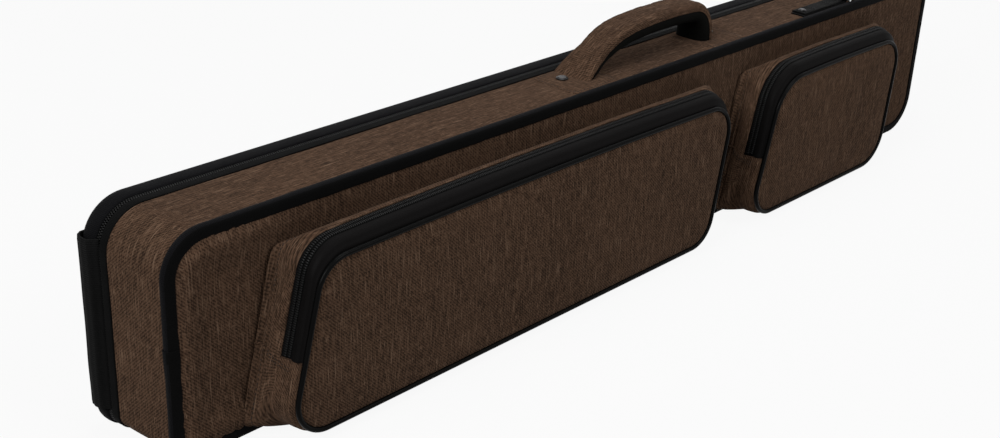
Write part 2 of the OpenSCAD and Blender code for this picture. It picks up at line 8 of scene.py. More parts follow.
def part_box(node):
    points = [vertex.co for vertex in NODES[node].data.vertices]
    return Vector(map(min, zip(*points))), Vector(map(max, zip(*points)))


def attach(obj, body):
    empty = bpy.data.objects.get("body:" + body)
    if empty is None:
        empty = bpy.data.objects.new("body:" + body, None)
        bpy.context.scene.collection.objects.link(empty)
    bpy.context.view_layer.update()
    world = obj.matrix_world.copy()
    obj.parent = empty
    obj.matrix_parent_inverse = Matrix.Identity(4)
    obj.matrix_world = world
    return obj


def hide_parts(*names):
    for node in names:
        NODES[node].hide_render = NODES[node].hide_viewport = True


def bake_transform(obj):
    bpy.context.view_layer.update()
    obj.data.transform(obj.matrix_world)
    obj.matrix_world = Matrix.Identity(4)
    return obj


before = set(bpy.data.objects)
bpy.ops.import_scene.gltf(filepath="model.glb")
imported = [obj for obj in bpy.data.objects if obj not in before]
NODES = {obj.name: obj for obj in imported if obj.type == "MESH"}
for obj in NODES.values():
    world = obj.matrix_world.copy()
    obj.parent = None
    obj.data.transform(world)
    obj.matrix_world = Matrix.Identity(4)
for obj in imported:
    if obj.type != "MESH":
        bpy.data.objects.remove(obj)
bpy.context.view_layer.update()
MM = 0.001

# ------------------------------------------------------------------ where the case is
wall_lo, wall_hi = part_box("side_wall")
MX = (wall_lo.x + wall_hi.x) / 2 / MM
X0, X1 = wall_lo.x / MM, wall_hi.x / MM
Z0, Z1 = wall_lo.z / MM, wall_hi.z / MM
Y_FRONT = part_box("front_binding")[0].y / MM
Y_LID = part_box("lid_panel")[1].y / MM
Y_SPLIT = (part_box("body_zip_coil")[1].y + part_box("lid_zip_coil")[0].y) / 2 / MM
FOLD_Z = (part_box("long_flap_panel")[0].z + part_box("long_lower_panel")[1].z) / 2 / MM
# wall, how far the front cloth ends inside the outline, then the cue channels and the straps over them
WALL_T = 5.0
FACE_IN = 4.6
BUTT_W, SHAFT_W, FOAM_FLOOR, CHANNEL_L, STRAP_W = 35.0, 22.0, 6.0, 770.0, 25.0


def spans(name):
    """A CAD node's ends in mm along x, y and z."""
    lo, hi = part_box(name)
    return tuple((a / MM, b / MM) for a, b in zip(lo, hi))


# ------------------------------------------------------------------ materials
# period of the wave texture's bands at scale 1: straight, and diagonal in one plane
WAVE_STRAIGHT, WAVE_DIAGONAL = 0.314, 0.444


def fresh_tree(owner, out_kind):
    """Emptied node tree of a material or world, and its output node."""
    owner.use_nodes = True
    nt = owner.node_tree
    nt.nodes.clear()
    return nt, nt.nodes.new(out_kind)


def new_mat(name):
    m = bpy.data.materials.new(name)
    nt, out = fresh_tree(m, "ShaderNodeOutputMaterial")
    bsdf = nt.nodes.new("ShaderNodeBsdfPrincipled")
    nt.links.new(bsdf.outputs[0], out.inputs[0])
    return m, nt, bsdf


def fill(nt, n, **values):
    """Sets or links a node's inputs and settings. An underscore in a name stands for a space."""
    for k, v in values.items():
        socket = n.inputs.get(k.replace("_", " "))
        if socket is None:
            setattr(n, k, v)
        elif isinstance(v, bpy.types.NodeSocket):
            nt.links.new(v, socket)
        elif v is not None:
            socket.default_value = v
    return n


def node(nt, kind, **values):
    return fill(nt, nt.nodes.new(kind), **values)


def mapped(nt, source, scale):
    return node(nt, "ShaderNodeMapping", Scale=scale, Vector=source).outputs[0]


def coords(nt, uv):
    tc = node(nt, "ShaderNodeTexCoord")
    return tc.outputs["UV" if uv else "Object"]


def math_node(nt, op, a, b=None, c=None):
    n = node(nt, "ShaderNodeMath", operation=op)
    for i, v in enumerate((a, b, c)):
        if v is None:
            continue
        if isinstance(v, (int, float)):
            n.inputs[i].default_value = v
        else:
            nt.links.new(v, n.inputs[i])
    return n.outputs[0]


def mix_col(nt, fac, a, b):
    n = node(nt, "ShaderNodeMix", data_type="RGBA")
    for i, v in ((0, fac), (6, a), (7, b)):
        if isinstance(v, (int, float)):
            n.inputs[i].default_value = v
        elif isinstance(v, tuple):
            n.inputs[i].default_value = (*v, 1)
        else:
            nt.links.new(v, n.inputs[i])
    return n.outputs[2]


def bump(nt, height, strength, dist, into=None):
    return node(nt, "ShaderNodeBump", Strength=strength, Distance=dist, Height=height, Normal=into).outputs[0]


def srgb(r, g, b):
    return tuple(((c / 255 + 0.055) / 1.055) ** 2.4 if c > 10.3 else c / 255 / 12.92 for c in (r, g, b))


def span(nt, value, lo, hi):
    return node(nt, "ShaderNodeMapRange", interpolation_type="SMOOTHSTEP", From_Min=lo, From_Max=hi,
                Value=value).outputs[0]


def speckle(nt, src, **values):
    """Noise over the whole surface."""
    return node(nt, "ShaderNodeTexNoise", Vector=src, **values).outputs[0]


def drift(nt, src, scale, seed, detail=1.5):
    """Noise stretched by scale, moved away from its origin by seed."""
    off = node(nt, "ShaderNodeVectorMath", operation="ADD")
    off.inputs[1].default_value = (seed, -seed, 2 * seed)
    nt.links.new(mapped(nt, src, scale), off.inputs[0])
    return speckle(nt, off.outputs[0], Scale=1.0, Detail=detail, Roughness=0.55)


def weighted(nt, parts):
    """Sum of (value, share) pairs."""
    total = None
    for value, share in parts:
        total = math_node(nt, "MULTIPLY" if total is None else "MULTIPLY_ADD", value, share, total)
    return total


def cloth_mat(name, dark, mid, light, uv=True, sheen=0.01):
    """Melange twill: fine diagonal ribs, yarns of mixed tone and thin slubs."""
    flecks, pitch = 0.34, 1.7
    m, nt, bsdf = new_mat(name)
    src = coords(nt, uv)
    warp = drift(nt, src, (1250, 190, 600), 0.0)
    weft = drift(nt, src, (260, 1150, 600), 7.3)
    slub = drift(nt, src, (1050, 55, 600), 3.1, 1.0)
    fine = drift(nt, src, (1500, 1500, 1500), 11.0)
    patch = drift(nt, src, (12, 12, 12), 5.0, 2.0)
    k = WAVE_DIAGONAL / (pitch * MM)
    rib = node(nt, "ShaderNodeTexWave", wave_type="BANDS", bands_direction="DIAGONAL", Scale=1.0,
               Distortion=1.6, Detail=2.0, Detail_Scale=1.5,
               Vector=mapped(nt, src, (k, k, 0))).outputs["Fac"]
    tone = weighted(nt, ((warp, 0.26), (weft, 0.18), (slub, 0.26), (fine, 0.22), (rib, 0.10), (patch, 0.08)))
    body = mix_col(nt, span(nt, tone, 0.43, 0.63), dark, mid)
    bright = span(nt, warp, 0.58, 0.82)
    for yarn, lo, hi, share in ((slub, 0.60, 0.80, 0.8), (weft, 0.62, 0.82, 0.5)):
        bright = math_node(nt, "MAXIMUM", bright, math_node(nt, "MULTIPLY", span(nt, yarn, lo, hi), share))
    color = mix_col(nt, math_node(nt, "MULTIPLY", bright, flecks), body, light)
    n1 = bump(nt, rib, 0.4, 0.0003)
    n2 = bump(nt, math_node(nt, "MAXIMUM", warp, weft), 0.5, 0.0005, n1)
    fill(nt, bsdf, Base_Color=color, Normal=bump(nt, fine, 0.4, 0.0003, n2), Roughness=0.95,
         Specular_IOR_Level=0.03, Sheen_Weight=sheen, Sheen_Roughness=0.5)
    return m


def ribbed_mat(name, color, pitch, spec, pale_yarn_and_painted_light, across=False, rough=0.75, depth=0.00025):
    """Woven tape: fine ribs, uneven yarn and paler yarn mixed in at random; a large share of paler yarn, as on
    the binding's side face, is painted light.
    """
    m, nt, bsdf = new_mat(name)
    src = coords(nt, True)
    k = WAVE_STRAIGHT / (pitch * MM)
    rib = node(nt, "ShaderNodeTexWave", wave_type="BANDS", bands_direction="Y" if across else "X", Scale=1.0,
               Distortion=0.8, Detail=1.0, Vector=mapped(nt, src, (k, k, k))).outputs["Fac"]
    yarn = speckle(nt, src, Scale=900.0, Detail=2.0)
    big = speckle(nt, src, Scale=60.0, Detail=3.0)
    tone = math_node(nt, "MULTIPLY_ADD", rib, 0.18, math_node(nt, "MULTIPLY", yarn, big))
    # paler colour: random yarn tone, and where its share is high, painted light
    light = tuple(min(1, c * (1 + 2.4 * pale_yarn_and_painted_light) + 0.004 * pale_yarn_and_painted_light) for c in color)
    normal = bump(nt, yarn, 0.3, 0.0002, bump(nt, rib, 0.6, depth))
    fill(nt, bsdf, Base_Color=mix_col(nt, tone, color, light), Normal=normal, Roughness=rough,
         Specular_IOR_Level=spec, Sheen_Weight=0.01)
    return m


def plain_mat(name, color, rough, spec=0.5, metal=0.0, bump_s=0.15, var=0.25, uv=False):
    """Smooth plastic, coated tape or metal with fine scuffs."""
    grain = 600.0
    m, nt, bsdf = new_mat(name)
    src = coords(nt, uv)
    fine = speckle(nt, src, Scale=grain, Detail=3.0)
    scuff = speckle(nt, src, Scale=grain / 12, Detail=4.0, Roughness=0.7)
    light = tuple(min(1, c * (1 + var) + 0.004 * var) for c in color)
    dull = node(nt, "ShaderNodeMapRange", To_Min=max(rough - 0.12, 0.02), To_Max=min(rough + 0.12, 1),
                Value=scuff)
    fill(nt, bsdf, Base_Color=mix_col(nt, scuff, color, light), Roughness=dull.outputs[0],
         Normal=bump(nt, fine, bump_s, 0.0002), Metallic=metal, Specular_IOR_Level=spec)
    return m


DARK, MID, LIGHT = srgb(38, 28, 21), srgb(77, 58, 45), srgb(140, 117, 98)
BROWN = cloth_mat("brown_melange", DARK, MID, LIGHT)
BROWN_OBJ = cloth_mat("brown_melange_flat", DARK, MID, LIGHT, uv=False)
# the binding's side and front are lit and shaded copies of one black tape: the side's paler yarn is painted
# light, the front's darker copy is painted shade
BINDING_PAINTED_LIT = ribbed_mat("binding_tape_painted_light", srgb(5, 5, 6), pitch=1.0, spec=0.02, pale_yarn_and_painted_light=0.9)
BINDING_FRONT_PAINTED_SHADE = ribbed_mat("binding_face_painted_shade", srgb(5, 5, 5), pitch=1.0, spec=0.02, pale_yarn_and_painted_light=0.2, depth=0.0001)
WEB = ribbed_mat("webbing", srgb(6, 6, 6), pitch=1.4, across=True, spec=0.03, depth=0.0004, pale_yarn_and_painted_light=0.7)
TAPE = ribbed_mat("zip_tape", srgb(5, 5, 5), pitch=0.8, rough=0.8, spec=0.015, pale_yarn_and_painted_light=0.7)
TEETH = plain_mat("zip_teeth", srgb(16, 16, 16), 0.45, spec=0.12)
BAND = plain_mat("coated_band", srgb(11, 10, 10), 0.5, spec=0.015, uv=True)
PIPING = plain_mat("piping_cover", srgb(4, 4, 4), 0.3, spec=0.03, uv=True)
LINING = plain_mat("handle_lining", srgb(3, 3, 2), 0.8, spec=0.04)
FOAM = cloth_mat("velour_lining", srgb(22, 22, 24), srgb(34, 34, 36), srgb(52, 52, 55), uv=False, sheen=0.3)
BOARD = cloth_mat("board_cloth", srgb(16, 16, 17), srgb(26, 26, 27), srgb(40, 40, 41), uv=False)
NICKEL = plain_mat("nickel", srgb(190, 190, 192), 0.24, metal=1.0, bump_s=0.04, var=0.05)
RIVET = plain_mat("black_nickel", srgb(16, 15, 15), 0.26, spec=0.15, bump_s=0.05, var=0.1)
PULL = plain_mat("pull_paint", srgb(18, 18, 19), 0.42, spec=0.4)
THREAD = plain_mat("thread", srgb(30, 24, 20), 0.8, spec=0.2)
THREAD_BLACK = plain_mat("thread_black", srgb(12, 12, 12), 0.7, spec=0.2)

CAD_LOOKS = {"handle_rivets": RIVET, "strap_rivet": RIVET, "d_ring": NICKEL}
for zipper in ("near", "far", "long", "small"):
    CAD_LOOKS[zipper + "_slider"], CAD_LOOKS[zipper + "_pull"] = NICKEL, PULL
for name, obj in NODES.items():
    obj.data.materials.clear()
    obj.data.materials.append(CAD_LOOKS.get(name, BROWN_OBJ))


# ------------------------------------------------------------------ outlines
def line_shift(p, q, s):
    d = Vector((q[0] - p[0], q[1] - p[1])).normalized()
    return Vector((p[0] - s * d.y, p[1] + s * d.x)), d


def cross_at(a, b):
    (p, d), (q, e) = a, b
    cr = d.x * e.y - d.y * e.x
    w = q - p
    return p + d * ((w.x * e.y - w.y * e.x) / cr)


def outline(corners, shifts, r, arc=12, side=(30, 10, 30, 10)):
    """Points round a four-cornered outline: each side's shift moves it outward, r rounds the corners."""
    lines = [line_shift(corners[i], corners[(i + 1) % 4], shifts[i]) for i in range(4)]
    cs = [cross_at(lines[(i + 3) % 4], lines[i]) for i in range(4)]
    rs = r if hasattr(r, "__len__") else [r] * 4
    ends = []
    for i in range(4):
        a, b, c = cs[(i + 3) % 4], cs[i], cs[(i + 1) % 4]
        u, v = (a - b).normalized(), (c - b).normalized()
        half = math.acos(max(-1, min(1, u.dot(v)))) / 2
        o = b + (u + v).normalized() * (rs[i] / math.sin(half))
        p = b + u * (rs[i] / math.tan(half)) - o
        a0 = math.atan2(p.y, p.x)
        turn = math.pi - 2 * half
        ends.append([o + rs[i] * Vector((math.cos(a0 - turn * k / arc), math.sin(a0 - turn * k / arc)))
                     for k in range(arc + 1)])
    pts = []
    for i in range(4):
        pts += ends[i]
        a, b = ends[i][-1], ends[(i + 1) % 4][0]
        for k in range(1, side[i]):
            pts.append(a.lerp(b, k / side[i]))
    return pts


def ease(t):
    t = max(0.0, min(1.0, t))
    return t * t * (3 - 2 * t)


def lookup(table, x):
    if x <= table[0][0]:
        return table[0][1]
    for (a, fa), (b, fb) in zip(table, table[1:]):
        if x <= b:
            return fa + (fb - fa) * (x - a) / (b - a)
    return table[-1][1]


# ------------------------------------------------------------------ meshes
def finish_mesh(name, bm, mat, body=None, smooth=60):
    me = bpy.data.meshes.new(name)
    bmesh.ops.recalc_face_normals(bm, faces=bm.faces[:])
    for f in bm.faces:
        f.smooth = True
    bm.to_mesh(me)
    bm.free()
    me.set_sharp_from_angle(angle=math.radians(smooth))
    ob = bpy.data.objects.new(name, me)
    bpy.context.collection.objects.link(ob)
    me.materials.append(mat)
    if body:
        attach(ob, body)
    return ob


def stand_for(ob, slot, *nodes):
    if nodes:
        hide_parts(*nodes)
    return ob


def new_skin():
    bm = bmesh.new()
    return bm, bm.loops.layers.uv.new("UVMap")


def vert_grid(bm, rows):
    """Vertices for rows of points in mm."""
    return [[bm.verts.new(p * MM) for p in row] for row in rows]


def cap_ends(bm, rows):
    bm.faces.new(rows[0][::-1])
    bm.faces.new(rows[-1])


def hoops(bm, rows):
    """Quads between closed rows of vertices, for small parts that need no places of their own."""
    for a, b in zip(rows, rows[1:]):
        n = len(a)
        for i in range(n):
            bm.faces.new((a[i], a[(i + 1) % n], b[(i + 1) % n], b[i]))


def close_rim(bm, front, rear):
    """Faces between the borders of two grids of vertices."""
    last_k, last_i = len(front) - 1, len(front[0]) - 1
    for k in range(last_k):
        for i in (0, last_i):
            bm.faces.new((front[k][i], front[k + 1][i], rear[k + 1][i], rear[k][i]))
    for k in (0, last_k):
        for i in range(last_i):
            bm.faces.new((front[k][i], front[k][i + 1], rear[k][i + 1], rear[k][i]))


def flat_uv(bm, uvl, up):
    """Places read straight off the mesh: x, and y or z as up."""
    for f in bm.faces:
        for loop in f.loops:
            loop[uvl].uv = (loop.vert.co.x, loop.vert.co[up])


def grid_faces(bm, uvl, rows, us, vs, closed_u=False, closed_v=False, turned=False):
    """Quads between rows of vertices. us and vs, in mm, are the places of the columns and rows, and turned
    swaps them."""
    n, m = len(rows[0]), len(rows)
    for k in range(m if closed_v else m - 1):
        for i in range(n if closed_u else n - 1):
            j, l = (i + 1) % n, (k + 1) % m
            f = bm.faces.new((rows[k][i], rows[k][j], rows[l][j], rows[l][i]))
            for loop, (a, b) in zip(f.loops, ((i, k), (i + 1, k), (i + 1, k + 1), (i, k + 1))):
                loop[uvl].uv = (vs[b] * MM, us[a] * MM) if turned else (us[a] * MM, vs[b] * MM)


def running(points):
    """Length along a row of points from its start, in mm."""
    out = [0.0]
    for a, b in zip(points, points[1:]):
        out.append(out[-1] + (b - a).length)
    return out


def cut(bm, keep):
    """keep is ("above" or "below", z in mm): trims a closed mesh there and closes the cut."""
    side, z = keep
    up = side == "above"
    geom = bm.verts[:] + bm.edges[:] + bm.faces[:]
    bmesh.ops.bisect_plane(bm, geom=geom, plane_co=(0, 0, z * MM), plane_no=(0, 0, 1),
                           clear_inner=up, clear_outer=not up)
    edges = [e for e in bm.edges if e.is_boundary]
    if edges:
        bmesh.ops.holes_fill(bm, edges=edges, sides=0)


def outward(row, i):
    """Direction out of a closed row of points in the X-Z plane, at its point i."""
    run = row[(i + 1) % len(row)] - row[i - 1]
    return Vector((-run.z, 0, run.x)).normalized()


def ring(name, corners, section, mat, body=None, move=None, keep=None, turned=False, **kw):
    """Closed skin carried round an outline. section is [(shifts, depth y, corner radii)], in mm.
    turned lays the cloth's long threads along the outline."""
    bm, uvl = new_skin()
    rows = [[Vector((p.x, y, p.y)) for p in outline(corners, sh, r, **kw)] for sh, y, r in section]
    us = running(rows[0] + rows[0][:1])
    n = len(rows[0])
    if move:
        rows = [[move(p, k, outward(row, i)) for i, p in enumerate(row)] for k, row in enumerate(rows)]
    vs = running([row[n // 8] for row in rows] + [rows[0][n // 8]])
    grid_faces(bm, uvl, vert_grid(bm, rows), us, vs, True, True, turned)
    if keep:
        cut(bm, keep)
    return finish_mesh(name, bm, mat, body)


def crowded(t, even):
    """0 to 1 with closer steps at both ends; even is the share left evenly spaced."""
    return even * t + (1 - even) * (0.5 - 0.5 * math.cos(math.pi * t))


def resample(points, count, even=1.0):
    """count + 1 points along a row of points, evenly or closer at both ends."""
    total = running(points)
    out, k = [], 0
    for i in range(count + 1):
        s = total[-1] * crowded(i / count, even)
        while k < len(points) - 2 and total[k + 1] < s:
            k += 1
        t = (s - total[k]) / max(total[k + 1] - total[k], 1e-9)
        out.append(points[k].lerp(points[k + 1], min(max(t, 0), 1)))
    return out


def panel(name, corners, shifts, radii, y_of, y_back, nx, nz, mat, body=None, bow=None, rim=1.0, even=(1, 1),
          **kw):
    """Padded plate: an even grid inside a rounded outline, with its rim turned back to y_back.
    y_of(x, z, edge) gives the face's depth at a distance edge from the outline."""
    arc, side = kw.get("arc", 12), kw.get("side", (30, 10, 30, 10))
    pts = outline(corners, shifts, radii, **kw)
    if bow:
        pts = [bow(p) for p in pts]
    starts = [sum(arc + side[j] for j in range(i)) + arc // 2 for i in range(4)]
    runs = []
    for i in range(4):
        a, b = starts[i], starts[(i + 1) % 4]
        runs.append(pts[a:b + 1] if b > a else pts[a:] + pts[:b + 1])
    top, right = resample(runs[0], nx, even[0]), resample(runs[1], nz, even[1])
    low, left = resample(runs[2], nx, even[0])[::-1], resample(runs[3], nz, even[1])
    right = right[::-1]
    tree = kdtree.KDTree(len(pts))
    for i, p in enumerate(pts):
        tree.insert((p.x, p.y, 0), i)
    tree.balance()
    bm, uvl = new_skin()
    face = []
    for k in range(nz + 1):
        t = crowded(k / nz, even[1])
        row = []
        for i in range(nx + 1):
            s = crowded(i / nx, even[0])
            p = (low[i] * (1 - t) + top[i] * t + left[k] * (1 - s) + right[k] * s
                 - low[0] * (1 - s) * (1 - t) - low[-1] * s * (1 - t)
                 - top[0] * (1 - s) * t - top[-1] * s * t)
            on_rim = k in (0, nz) or i in (0, nx)
            edge = 0 if on_rim else tree.find((p.x, p.y, 0))[2]
            row.append(bm.verts.new(Vector((p.x, y_of(p.x, p.y, edge), p.y)) * MM))
        face.append(row)
    for k in range(nz):
        for i in range(nx):
            bm.faces.new((face[k][i], face[k][i + 1], face[k + 1][i + 1], face[k + 1][i]))
    loop_v = face[0][:] + [r[-1] for r in face[1:]] + face[-1][-2::-1] + [r[0] for r in face[-2:0:-1]]
    mid = Vector((sum(v.co.x for v in loop_v), 0, sum(v.co.z for v in loop_v))) / len(loop_v)
    back = []
    for v in loop_v:
        inward = (mid - v.co)
        inward.y = 0
        q = v.co + inward.normalized() * rim * MM
        q.y = y_back * MM
        back.append(bm.verts.new(q))
    hoops(bm, [loop_v, back])
    bm.faces.new(back)
    flat_uv(bm, uvl, 2)
    bm.verts.index_update()
    pins = [v.index for v in loop_v] + [v.index for v in back]
    ob = finish_mesh(name, bm, mat, body, 70)
    ob["pins"] = pins
    return ob


# frames the cloth is simulated for before its shape is read off
SWELL_FRAMES = 9


def puff(ob, pressure, cap, pins=None):
    """Cloth under light air pressure: the sewn rim holds and the rest swells, by cap mm at most."""
    pins = list(ob["pins"]) if pins is None else pins
    if "pins" in ob:
        del ob["pins"]
    rest = [v.co.copy() for v in ob.data.vertices]
    ob.vertex_groups.new(name="sewn").add(pins, 1.0, "REPLACE")
    mod = ob.modifiers.new("cloth", "CLOTH")
    cloth = mod.settings
    cloth.quality = 3
    cloth.mass = 0.1
    cloth.vertex_group_mass = "sewn"
    cloth.use_pressure = True
    cloth.uniform_pressure_force = pressure
    cloth.effector_weights.gravity = 0
    cloth.shrink_min = -0.01
    scene = bpy.context.scene
    for f in range(1, SWELL_FRAMES + 1):
        scene.frame_set(f)
    shaped = ob.evaluated_get(bpy.context.evaluated_depsgraph_get()).to_mesh()
    moved = [v.co.copy() for v in shaped.vertices]
    ob.modifiers.remove(mod)
    ob.vertex_groups.clear()
    far = max((b - a).length for a, b in zip(rest, moved))
    share = min(1, cap * MM / max(far, 1e-9))
    for v, a, b in zip(ob.data.vertices, rest, moved):
        v.co = a.lerp(b, share)
    scene.frame_set(1)


def heading(points, i):
    """Direction of a row of points at its point i."""
    return (points[min(i + 1, len(points) - 1)] - points[max(i - 1, 0)]).normalized()


def strand(name, rows, us, vs, mat, smooth):
    """Piece on the body from closed sections, with both its ends capped."""
    bm, uvl = new_skin()
    verts = vert_grid(bm, rows)
    grid_faces(bm, uvl, verts, us, vs, True)
    cap_ends(bm, verts)
    return finish_mesh(name, bm, mat, "case_body", smooth)


def tube(name, points, radius):
    """Rolled cloth seam on the body through points in mm."""
    sides = 8
    rows, ref = [], None
    for i, p in enumerate(points):
        d = heading(points, i)
        if ref is None:
            ref = d.orthogonal().normalized()
        ref = (ref - d * ref.dot(d)).normalized()
        side = d.cross(ref)
        angles = [2 * math.pi * k / sides for k in range(sides)]
        rows.append([p + ref * (radius * math.cos(a)) + side * (radius * math.sin(a)) for a in angles])
    us = [2 * math.pi * radius * k / sides for k in range(sides + 1)]
    return stand_for(strand(name, rows, us, running(points), BROWN, 50), "brown_cloth")


def spaced(pairs, pitch, offset=0.0):
    """Even steps along [(point, outward)]: the point, its outward and the line's own direction."""
    total = running([p for p, out in pairs])
    count = max(1, int(total[-1] / pitch))
    k = 0
    for c in range(count):
        s = (c + 0.5 + offset) * total[-1] / count
        if s > total[-1]:
            continue
        while k < len(pairs) - 2 and total[k + 1] < s:
            k += 1
        (a, out_a), (b, out_b) = pairs[k], pairs[k + 1]
        t = (s - total[k]) / max(total[k + 1] - total[k], 1e-9)
        yield a.lerp(b, t), out_a.lerp(out_b, t).normalized(), (b - a).normalized()


def stitches(name, line, mat, slot, pitch=3.4, long=2.3, wide=0.55, high=0.35, closed=False):
    """Row of thread stitches on the body along line, [(point, outward)] in mm, a little out of the cloth."""
    bm = bmesh.new()
    for p, out, run in spaced(list(line) + ([line[0]] if closed else []), pitch):
        across = run.cross(out).normalized()
        rings = []
        for x, size in ((-0.5, 0.35), (-0.3, 0.9), (0.0, 1.0), (0.3, 0.9), (0.5, 0.35)):
            lift = high * (1 - (2 * x) ** 2) - 0.1
            rings.append([p + run * (x * long) + across * (wide / 2 * size * math.cos(a))
                          + out * (lift + wide / 2 * size * math.sin(a))
                          for a in (math.radians(60 * q) for q in range(6))])
        rings = vert_grid(bm, rings)
        hoops(bm, rings)
        cap_ends(bm, rings)
    return stand_for(finish_mesh(name, bm, mat, "case_body", 60), slot)


def wobble(p, size, amp, seed=0.0):
    return amp * noise.noise(Vector((p[0] / size + seed, p[1] / size - seed, p[2] / size + 2 * seed)))


# ------------------------------------------------------------------ case body
CASE = [(X0, Z1), (X1, Z1), (X1, Z0), (X0, Z0)]
CASE_KW = dict(arc=14, side=(110, 20, 110, 20))
# corner radii of the covered wall: near top, far top, far bottom, near bottom
WALL_RS = (27.0, 22.0, 30.0, 12.0)
MID_Z = (Z0 + Z1) / 2


def grown_radii(radii, e):
    return tuple(max(r + e, 2.5) for r in radii)


def case_r(s):
    return grown_radii(WALL_RS, s)


def near_bulge(y):
    """The near end swells towards the hinge."""
    return 5.5 * ease((y - Y_FRONT) / (Y_LID - Y_FRONT))


def case_sec(s, y, bulge=1.0):
    return ((s, s, s, s + bulge * near_bulge(y)), y, case_r(s))


def case_ring(name, section, mat, body, slot, cad, **more):
    """Ring round the case's outline in place of a CAD node."""
    return stand_for(ring(name, CASE, section, mat, body, **more, **CASE_KW), slot, cad)


def side_cover():
    y0, y1 = Y_FRONT + 2, Y_SPLIT - 1.5
    steps = 14
    ys = [y0 + (y1 - y0) * t / steps for t in range(steps + 1)]
    sec = [case_sec(0.5 * math.sin(math.pi * i / steps), y) for i, y in enumerate(ys)]
    sec += [case_sec(-WALL_T, y, 0) for y in (y1, y0)]

    def move(p, k, out):
        w = wobble(p, 34, 0.35) + wobble(p, 120, 0.45, 5)
        return p if k > steps else p + out * (-abs(w) if out.z < -0.5 else w)
    case_ring("side_cover", sec, BROWN, "case_body", "brown_cloth", "side_wall", move=move, turned=True)


def front_cloth():
    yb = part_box("front_panel")[1].y / MM

    def y_of(x, z, edge):
        near = ease((X0 + 110 - x) / 70)
        rise, fall = 1 - math.exp(-(edge / 4.7) ** 2), math.exp(-(max(edge - 7, 0) / 12) ** 2)
        swell = (0.5 + 3.1 * near) * rise * fall
        p = (x, 0, z)
        soft = wobble(p, 40, 0.3, 3) + wobble(p, 130, 0.45, 9)
        return Y_FRONT + 0.9 - 0.3 * near - swell - soft * ease(edge / 12)
    ob = panel("front_cloth", CASE, (-FACE_IN,) * 4, case_r(-FACE_IN), y_of, yb, 168, 38, BROWN,
               "case_body", even=(0.3, 0.45), **CASE_KW)
    puff(ob, 1.2, 0.6)
    stand_for(ob, "brown_cloth", "front_panel")


BIND_SEC = [(0, 6.0), (0.8, 6.1), (1.4, 5.6), (1.8, 4.4), (2.0, 3.0), (1.8, 1.7), (1.2, 0.8), (0.2, 0.25),
            (-1.6, 0.0), (-3.6, 0.05), (-5.3, -0.15), (-6.1, 0.05), (-6.4, 0.7), (-6.0, 2), (0, 2)]


def two_faced(ob):
    """The tape's front face is smoother and takes a darker copy of the tape: painted shade, against the side
    face's painted light.
    """
    ob.data.materials.append(BINDING_FRONT_PAINTED_SHADE)
    # faces at the front take the darker copy: painted shade
    for f in ob.data.polygons:
        if f.center.y < (Y_FRONT + 1.0) * MM:
            f.material_index = 1


def front_binding():
    """Tape folded over the front edge: a woven side face, a round edge and a flat front face."""
    def move(p, k, out):
        wavy = wobble(p, 11, 0.3, 2) + wobble(p, 48, 0.4, 7)
        if k in (1, 2, 3):
            return p + Vector((0, wavy, 0))
        if 9 <= k <= 12:
            return p - out * wavy * 1.2 + Vector((0, wobble(p, 7, 0.12, 4), 0))
        return p + Vector((0, wobble(p, 9, 0.1, 2), 0))
    sec = [((s,) * 4, Y_FRONT + d, case_r(s)) for s, d in BIND_SEC]
    ob = case_ring("front_edge_binding", sec, BINDING_PAINTED_LIT, "case_body", "black_trim", "front_binding", move=move)
    two_faced(ob)
    # the tape's end laps over its start on the near upright
    bm, uvl = new_skin()
    top, tall = MID_Z + 4, 20
    outer = [(s + 0.75, d - 0.15) for s, d in BIND_SEC[1:13]]
    rows = []
    for drop, e in ((0, 0.0), (0, 0.55), (0.8, 0.75), (8, 0.6), (14, 0.35), (tall, 0.0)):
        z = top - drop
        rows.append([bm.verts.new(Vector((X0 - s + 0.75 - e, Y_FRONT + d + (0.15 if d > 1 else 0.15 - e),
                                          z + 0.5 * math.sin(2.5 * d))) * MM) for s, d in outer])
    base = [bm.verts.new(Vector((X0 - s + 1.6, Y_FRONT + d + 0.6, top)) * MM) for s, d in outer]
    foot = [bm.verts.new(Vector((X0 - s + 1.6, Y_FRONT + d + 0.6, top - tall)) * MM) for s, d in outer]
    rows = [base] + rows[1:] + [foot]
    us = [2.0 * i for i in range(len(outer))]
    vs = [0, 1, 2, 9, 15, 21, 22]
    grid_faces(bm, uvl, rows, us, vs)
    grid_faces(bm, uvl, [foot, base], us, [0, tall])
    for i in (0, len(outer) - 1):
        bm.faces.new([r[i] for r in rows])
    lap = finish_mesh("binding_lap", bm, BINDING_PAINTED_LIT, "case_body", 40)
    two_faced(lap)
    stand_for(lap, "black_trim")


def body_tape():
    y0, y1 = spans("body_zip_tape")[1]
    sec = [case_sec(s, y) for s, y in ((0.2, y0 - 0.1), (0.9, y0), (1.2, y0 + 0.9), (1.1, (y0 + y1) / 2),
                                       (1.25, y1 - 1.0), (0.8, y1 - 0.1), (0.2, y1))]
    case_ring("body_tape", sec, TAPE, "case_body", "black_zip", "body_zip_tape")


def rim_path(corners, shifts, y, r, **kw):
    """Points of an outline at a depth, each with its outward direction."""
    pts = [Vector((p.x, y, p.y)) for p in outline(corners, shifts, r, **kw)]
    return [(p, outward(pts, i)) for i, p in enumerate(pts)]


